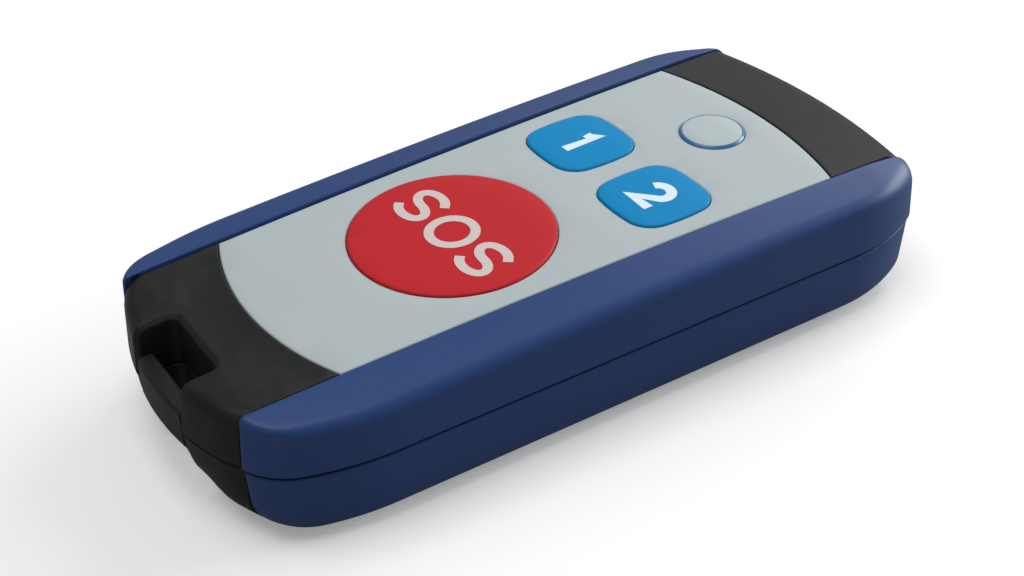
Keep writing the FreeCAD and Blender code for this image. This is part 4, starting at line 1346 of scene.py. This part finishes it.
@dataclass
class NoseCorners:
    """The lower case's nose corners beside the notch, filled out to meet the lower grips flush.

    Attributes:
        materials: Where the finishes come from.
        palette: The button's finishes.
        grip: The lower grip that they meet.
        case: A lower grip with the case's own sizes, which gives the surface that they grow out of.
        span: Distances from the centre line between which they lie.
        full_from: Distance from the centre line beyond which they are at their fullest.
        heights: Heights of their rows.
        fade: Heights between which they fade into the case.
        proud: How far they stand out where they meet the case.
        depth: How far they reach into the case.
        columns: Number of columns across.
    """

    materials: Materials
    palette: Palette
    grip: LowerGrip = field(default_factory=LowerGrip)
    case: LowerGrip = field(default_factory=lambda: LowerGrip(
        section=GripSection(outline=Outline(
            16.45, math.radians(1.5), OutlineEnd(-36.4, 1, 28.0, 22.0, 15.65, 7.1))),
        edge_radius=3.4, nose_radius=5.8))
    span: tuple[float, float] = (4.57, 10.72)
    full_from: float = 8.5
    heights: tuple[float, ...] = (7.13, 6.3, 5.7, 5.0, 4.3, 3.6, 3.0, 2.5, 2.0, 1.6, 1.2, 0.85,
                                  0.55, 0.3, 0.12, 0.0)
    fade: tuple[float, float] = (2.8, 6.2)
    proud: float = 0.006
    depth: float = 1.6
    columns: int = 24

    @staticmethod
    def _front(grip: LowerGrip, y: float, z: float) -> float:
        """Where a lower nose surface lies at a distance from the centre line and a height."""
        points = grip.section.outline.half(*grip.insets(z))
        (ax, ay), (bx, by) = next(pair for pair in zip(points, points[1:]) if pair[1][1] >= y)
        return ax + (bx - ax) * (y - ay) / (by - ay)

    def _row(self, z: float) -> list[Vector]:
        """One row across the corner's outer face."""
        inner, outer = self.span
        high_share = eased(1 - part_way(z, *self.fade))
        row = []
        for share in (0.0, *steps_to_one(self.columns)):
            y = inner + (outer - inner) * share
            full = high_share * eased(part_way(y, inner, self.full_from))
            start = self._front(self.case, y, z) - self.proud
            end = min(self._front(self.grip, y, z), start)
            row.append(Vector((start + (end - start) * full, y, z)))
        return row

    def build(self) -> None:
        """Make both corners."""
        rows = [self._row(z) for z in self.heights]
        root = [self._front(self.case, p.y, 0.0) for p in rows[0]]
        for z in (0.0, self.depth):
            rows.append([Vector((x, p.y, z)) for x, p in zip(root, rows[0])])
        rows.append([Vector((p.x + self.depth, p.y, p.z)) for p in rows[0]])
        material = self.materials.get(self.palette.case_black)
        for side, mirrored in (("left", False), ("right", True)):
            add_piece(wrapped_solid(f"nose_corner_{side}", rows, mirrored), material,
                      "housing")


# Legends


@dataclass(frozen=True)
class Stroke:
    """One even-width stroke of a sign, in the sign's own units, with the baseline up its Y axis.

    Attributes:
        points: Middle line of the stroke.
        closed: Whether its end joins its start.
    """

    points: tuple[Point, ...]
    closed: bool = False


def bow(centre: Point, reach: Point, start: float, end: float, steps: int) -> list[Point]:
    """Points along an elliptical arc between two angles in degrees.

    Args:
        centre: Its centre.
        reach: Its half width and half height.
        start: Angle of its first point.
        end: Angle of its last point.
        steps: Number of steps from first to last.

    Returns:
        The points, both ends included.
    """
    angles = [math.radians(start + (end - start) * k / steps) for k in range(steps + 1)]
    turn = on_circle((0.0, 0.0), 1.0, angles)
    return [(centre[0] + reach[0] * x, centre[1] + reach[1] * y) for x, y in turn]


@dataclass(frozen=True)
class Lettering:
    """Plain round signs drawn as strokes, one unit high between the middles of their strokes."""

    letter_width: float = 0.78
    oval_width: float = 0.98
    tail: Point = (0.075, 0.066)
    arc_steps: int = 18

    def letter_s(self) -> Stroke:
        """Two opposed bows with short straight ends."""
        half = self.letter_width / 2
        upper = bow((0, 0.745), (half, 0.255), 38, 270, self.arc_steps)
        lower = bow((0, 0.245), (half, 0.245), 90, -142, self.arc_steps)
        (ax, ay), (bx, by), (tail_x, tail_y) = upper[0], lower[-1], self.tail
        return Stroke(((ax + tail_x, ay - tail_y), *upper, *lower[1:], (bx - tail_x, by + tail_y)))

    def letter_o(self) -> Stroke:
        """A closed oval."""
        oval = bow((0, 0.5), (self.oval_width / 2, 0.5), 0, 360, 4 * self.arc_steps)
        return Stroke(tuple(oval[:-1]), closed=True)

    def figure_one(self) -> Stroke:
        """An upright with a short flag."""
        return Stroke(((-0.2, 0.86), (-0.02, 0.9), (0.08, 1.02), (0.08, -0.12)))

    def figure_two(self) -> Stroke:
        """A bow that runs down to a flat foot."""
        return Stroke((*bow((0, 0.69), (0.36, 0.34), 165, -32, self.arc_steps), (-0.32, -0.03),
                       (0.44, -0.03)))


LEAST_MITRE = 0.5


def stroke_ribbon(stroke: Stroke, width: float) -> tuple[list[Vector], list[Vector]]:
    """Left and right sides of a stroke, mitred at its corners.

    Args:
        stroke: The stroke's middle line.
        width: Full width, in the same units.

    Returns:
        The two sides, point by point.
    """
    points = [Vector(p) for p in stroke.points]
    count = len(points)
    left, right = [], []
    for index, point in enumerate(points):
        before = points[index - 1] if index or stroke.closed else None
        after = points[(index + 1) % count] if index < count - 1 or stroke.closed else None
        ways = [(b - a).normalized() for a, b in ((before, point), (point, after))
                if a is not None and b is not None]
        way = sum(ways, Vector((0, 0))).normalized()
        across = Vector((-way.y, way.x))
        stretch = 1 / max(way.dot(ways[0]), LEAST_MITRE)
        left.append(point + across * (width / 2 * stretch))
        right.append(point - across * (width / 2 * stretch))
    return left, right


@dataclass
class Legend:
    """A sign printed on a key, as a thin layer that follows the crown.

    Attributes:
        name: Name of the piece.
        strokes: The sign's strokes, each with its own shift along the line of writing.
        centre: Middle of the sign, in millimetres.
        height: Height of the letters, in millimetres.
        stroke_width: Width of the strokes, in millimetres.
        surface: Height of the key's face along X, in millimetres.
        thickness: How far the print stands proud, in millimetres.
        smoothing: Angle beyond which its edges are shaded as sharp, in degrees.
    """

    name: str
    strokes: Sequence[tuple[Stroke, float]]
    centre: Point
    height: float
    stroke_width: float
    surface: Along
    thickness: float = 0.02
    smoothing: float = 40.0

    def _place(self, point: Vector, shift: float, lift: float) -> Vector:
        """Turn a sign's point into a place on the key; letters stand along X, read towards -Y."""
        x = self.centre[0] + (point.y - 0.5) * self.height
        y = self.centre[1] - (point.x + shift) * self.height
        return Vector((x, y, self.surface(x) + lift)) * MM

    def mesh(self) -> bpy.types.Mesh:
        """Make the sign's mesh: each stroke a closed ribbon, half sunk in the key."""
        work = bmesh.new()
        for stroke, shift in self.strokes:
            sides = stroke_ribbon(stroke, self.stroke_width / self.height)
            top_left, top_right, low_left, low_right = (
                [work.verts.new(self._place(p, shift, lift)) for p in side]
                for lift in (self.thickness, -self.thickness) for side in sides)
            rows = [top_left, top_right, low_right, low_left]
            join_rows(work, rows + rows[:1], stroke.closed)
            if not stroke.closed:
                for end in (0, -1):
                    work.faces.new([row[end] for row in rows])
        return finished(self.name, work, self.smoothing)


@dataclass
class Legends:
    """The signs printed on the three keys.

    Attributes:
        materials: Where the finishes come from.
        palette: The button's finishes.
        sos_height: Height of the letters on the round key, between the middles of their strokes.
        sos_stroke: Width of those letters' strokes.
        sos_pitch: Distance from one letter to the next.
        number_height: Height of the numbers.
        number_stroke: Width of the numbers' strokes.
    """

    materials: Materials
    palette: Palette
    sos_height: float = 4.12
    sos_stroke: float = 0.88
    sos_pitch: float = 5.06
    number_height: float = 3.2
    number_stroke: float = 0.98

    def build(self) -> None:
        """Print all three."""
        signs, face = Lettering(), above_crown(FACE.key_rise)
        pitch = self.sos_pitch / self.sos_height
        letters = [(signs.letter_s(), -pitch), (signs.letter_o(), 0.0), (signs.letter_s(), pitch)]
        warm = self.materials.get(self.palette.legend_warm)
        cool = self.materials.get(self.palette.legend_cool)
        sos = Legend("sos_legend", letters, FACE.sos.centre, self.sos_height, self.sos_stroke, face)
        add_piece(sos.mesh(), warm, "sos")
        for number, sign, key in (("one", signs.figure_one(), FACE.key_one),
                                  ("two", signs.figure_two(), FACE.key_two)):
            figure = Legend(f"key_{number}_legend", [(sign, 0.0)], key.centre, self.number_height,
                            self.number_stroke, face)
            add_piece(figure.mesh(), cool, number)


# Pieces that keep their construction shapes


@dataclass
class Interior:
    """Everything inside the housing."""

    materials: Materials
    palette: Palette
    nodes: dict[str, bpy.types.Object]

    def build(self) -> None:
        """Dress each hidden node."""
        paint = {
            "case_seal": self.palette.seal_rubber, "case_screws": self.palette.screw_steel,
            "circuit_board": self.palette.board_green, "coin_cell": self.palette.cell_steel,
            "battery_clip": self.palette.contact_steel, "cell_contact": self.palette.contact_steel,
            "status_led": self.palette.lamp_white, "control_chip": self.palette.chip_black,
            "radio_chip": self.palette.chip_black, "crystal": self.palette.chip_metal,
            "chip_capacitors": self.palette.capacitor_tan,
            "antenna_strip": self.palette.strip_copper,
        }
        for node in ("sos_switch", "key_one_switch", "key_two_switch"):
            paint[node] = self.palette.switch_grey
        for node in ("sos_plunger", "key_one_plunger", "key_two_plunger"):
            paint[node] = self.palette.plunger_black
        for node, finish in paint.items():
            dress(self.nodes[node], self.materials.get(finish))


@dataclass
class Housing:
    """The two case halves and the key-ring bar."""

    materials: Materials
    palette: Palette
    nodes: dict[str, bpy.types.Object]

    def build(self) -> None:
        """Dress the housing."""
        for node, finish in (("top_case", self.palette.case_black),
                             ("bottom_case", self.palette.case_black),
                             ("key_ring_bar", self.palette.bar_black)):
            dress(self.nodes[node], self.materials.get(finish))


# Studio


@dataclass(frozen=True)
class Softbox:
    """One soft lamp, aimed at the button.

    Attributes:
        name: Name of the lamp.
        place: Where it stands, in metres.
        size: Its width and height, in metres.
        power: Its power, in watts.
    """

    name: str
    place: tuple[float, float, float]
    size: tuple[float, float]
    power: float


WHITE = (1.0, 1.0, 1.0, 1.0)


@dataclass
class Studio:
    """Floor, lamps, surroundings and camera.

    The camera was solved from the photograph, in the row frame and in metres.
    """

    camera_place: tuple[float, float, float] = (-0.067136, -0.099399, 0.091746)
    camera_right: tuple[float, float, float] = (0.829689, -0.558104, -0.011623)
    camera_up: tuple[float, float, float] = (0.336925, 0.484061, 0.807568)
    camera_lens: float = 56.43
    camera_sensor: float = 36.0
    camera_clip: tuple[float, float] = (0.005, 20.0)
    floor_reach: float = 3.0
    floor_bounce: Colour = (0.35, 0.35, 0.36, 1.0)
    floor_glow: float = 0.25
    floor_fade: tuple[float, float] = (0.09, 0.3)
    sky: float = 0.26
    lamps: tuple[Softbox, ...] = (
        Softbox("overhead", (-0.12, 0.02, 0.54), (0.36, 0.36), 1.56),
        Softbox("backdrop_card", (0.62, 0.22, 0.46), (0.40, 0.35), 1.9),
        Softbox("far_card", (0.46, 0.56, 0.32), (0.35, 0.30), 0.3),
        Softbox("right_card", (0.66, -0.12, 0.20), (0.35, 0.35), 3.5),
    )

    def _floor(self) -> None:
        """Floor that keeps the button's shadow and fades to pure white away from it."""
        mesh, reach = bpy.data.meshes.new("floor"), self.floor_reach
        mesh.from_pydata([(-reach, -reach, 0), (reach, -reach, 0), (reach, reach, 0),
                          (-reach, reach, 0)], [], [(0, 1, 2, 3)])
        floor = stand("floor", mesh)
        material = bpy.data.materials.new("floor_white")
        material.use_nodes = True
        tree = material.node_tree
        tree.nodes.clear()
        path = add_node(tree, "ShaderNodeLightPath")
        lit = add_node(tree, "ShaderNodeBsdfDiffuse", {"Color": WHITE})
        glow = add_node(tree, "ShaderNodeEmission", {"Color": WHITE})
        seen = add_node(tree, "ShaderNodeMixShader")
        place = add_node(tree, "ShaderNodeTexCoord")
        distance = add_node(tree, "ShaderNodeVectorMath")
        distance.operation = "LENGTH"
        near, far = self.floor_fade
        fade = add_node(tree, "ShaderNodeMapRange",
                        {"From Min": near, "From Max": far, "To Min": self.floor_glow})
        bounce = add_node(tree, "ShaderNodeBsdfDiffuse", {"Color": self.floor_bounce})
        mix = add_node(tree, "ShaderNodeMixShader")
        out = add_node(tree, "ShaderNodeOutputMaterial")
        wire(tree, (place, "Object", distance, 0), (distance, "Value", fade, "Value"),
             (fade, "Result", seen, "Fac"), (lit, "BSDF", seen, 1), (glow, "Emission", seen, 2),
             (path, "Is Camera Ray", mix, "Fac"), (bounce, "BSDF", mix, 1),
             (seen, "Shader", mix, 2), (mix, "Shader", out, "Surface"))
        mesh.materials.append(material)

    def _sky(self) -> None:
        """Even surroundings: white where the camera sees them, and softer as a light."""
        world = bpy.data.worlds.new("studio")
        bpy.context.scene.world = world
        world.use_nodes = True
        tree = world.node_tree
        tree.nodes.clear()
        path = add_node(tree, "ShaderNodeLightPath")
        light = add_node(tree, "ShaderNodeBackground", {"Color": WHITE, "Strength": self.sky})
        seen = add_node(tree, "ShaderNodeBackground", {"Color": WHITE, "Strength": 1.0})
        mix = add_node(tree, "ShaderNodeMixShader")
        out = add_node(tree, "ShaderNodeOutputWorld")
        wire(tree, (path, "Is Camera Ray", mix, "Fac"), (light, "Background", mix, 1),
             (seen, "Background", mix, 2), (mix, "Shader", out, "Surface"))

    def _lamp(self, box: Softbox) -> None:
        """Place one soft lamp and aim it at the button."""
        data = bpy.data.lights.new(box.name, "AREA")
        data.shape = "RECTANGLE"
        data.size, data.size_y = box.size
        data.energy = box.power
        lamp = stand(box.name, data)
        place = Vector(box.place)
        lamp.location = place
        lamp.rotation_euler = (-place).to_track_quat("-Z", "Y").to_euler()

    def _camera(self) -> None:
        """Place the camera that the photograph was solved for."""
        data = bpy.data.cameras.new("photo_view")
        data.lens = self.camera_lens
        data.sensor_width = self.camera_sensor
        data.clip_start, data.clip_end = self.camera_clip
        camera = stand("photo_view", data)
        right, up = Vector(self.camera_right), Vector(self.camera_up)
        turn = Matrix((right, up, right.cross(up))).transposed().to_4x4()
        camera.matrix_world = Matrix.Translation(Vector(self.camera_place)) @ turn
        bpy.context.scene.camera = camera

    def build(self) -> None:
        """Make the whole studio."""
        self._floor()
        self._sky()
        for box in self.lamps:
            self._lamp(box)
        self._camera()
        bpy.context.scene.view_settings.view_transform = "Standard"


def main() -> None:
    """Build the button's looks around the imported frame."""
    logging.basicConfig(level=logging.INFO, format="%(message)s")
    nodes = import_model()["nodes"]
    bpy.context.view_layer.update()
    materials, palette = Materials(), Palette()
    Housing(materials, palette, nodes).build()
    SideGrips(materials, palette).build()
    NoseCorners(materials, palette).build()
    FrontPanel(materials, palette).build()
    Indicator(materials, palette).build()
    KeyCaps(materials, palette).build()
    Legends(materials, palette).build()
    Interior(materials, palette, nodes).build()
    Studio().build()
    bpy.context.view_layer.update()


if __name__ == "__main__":
    main()
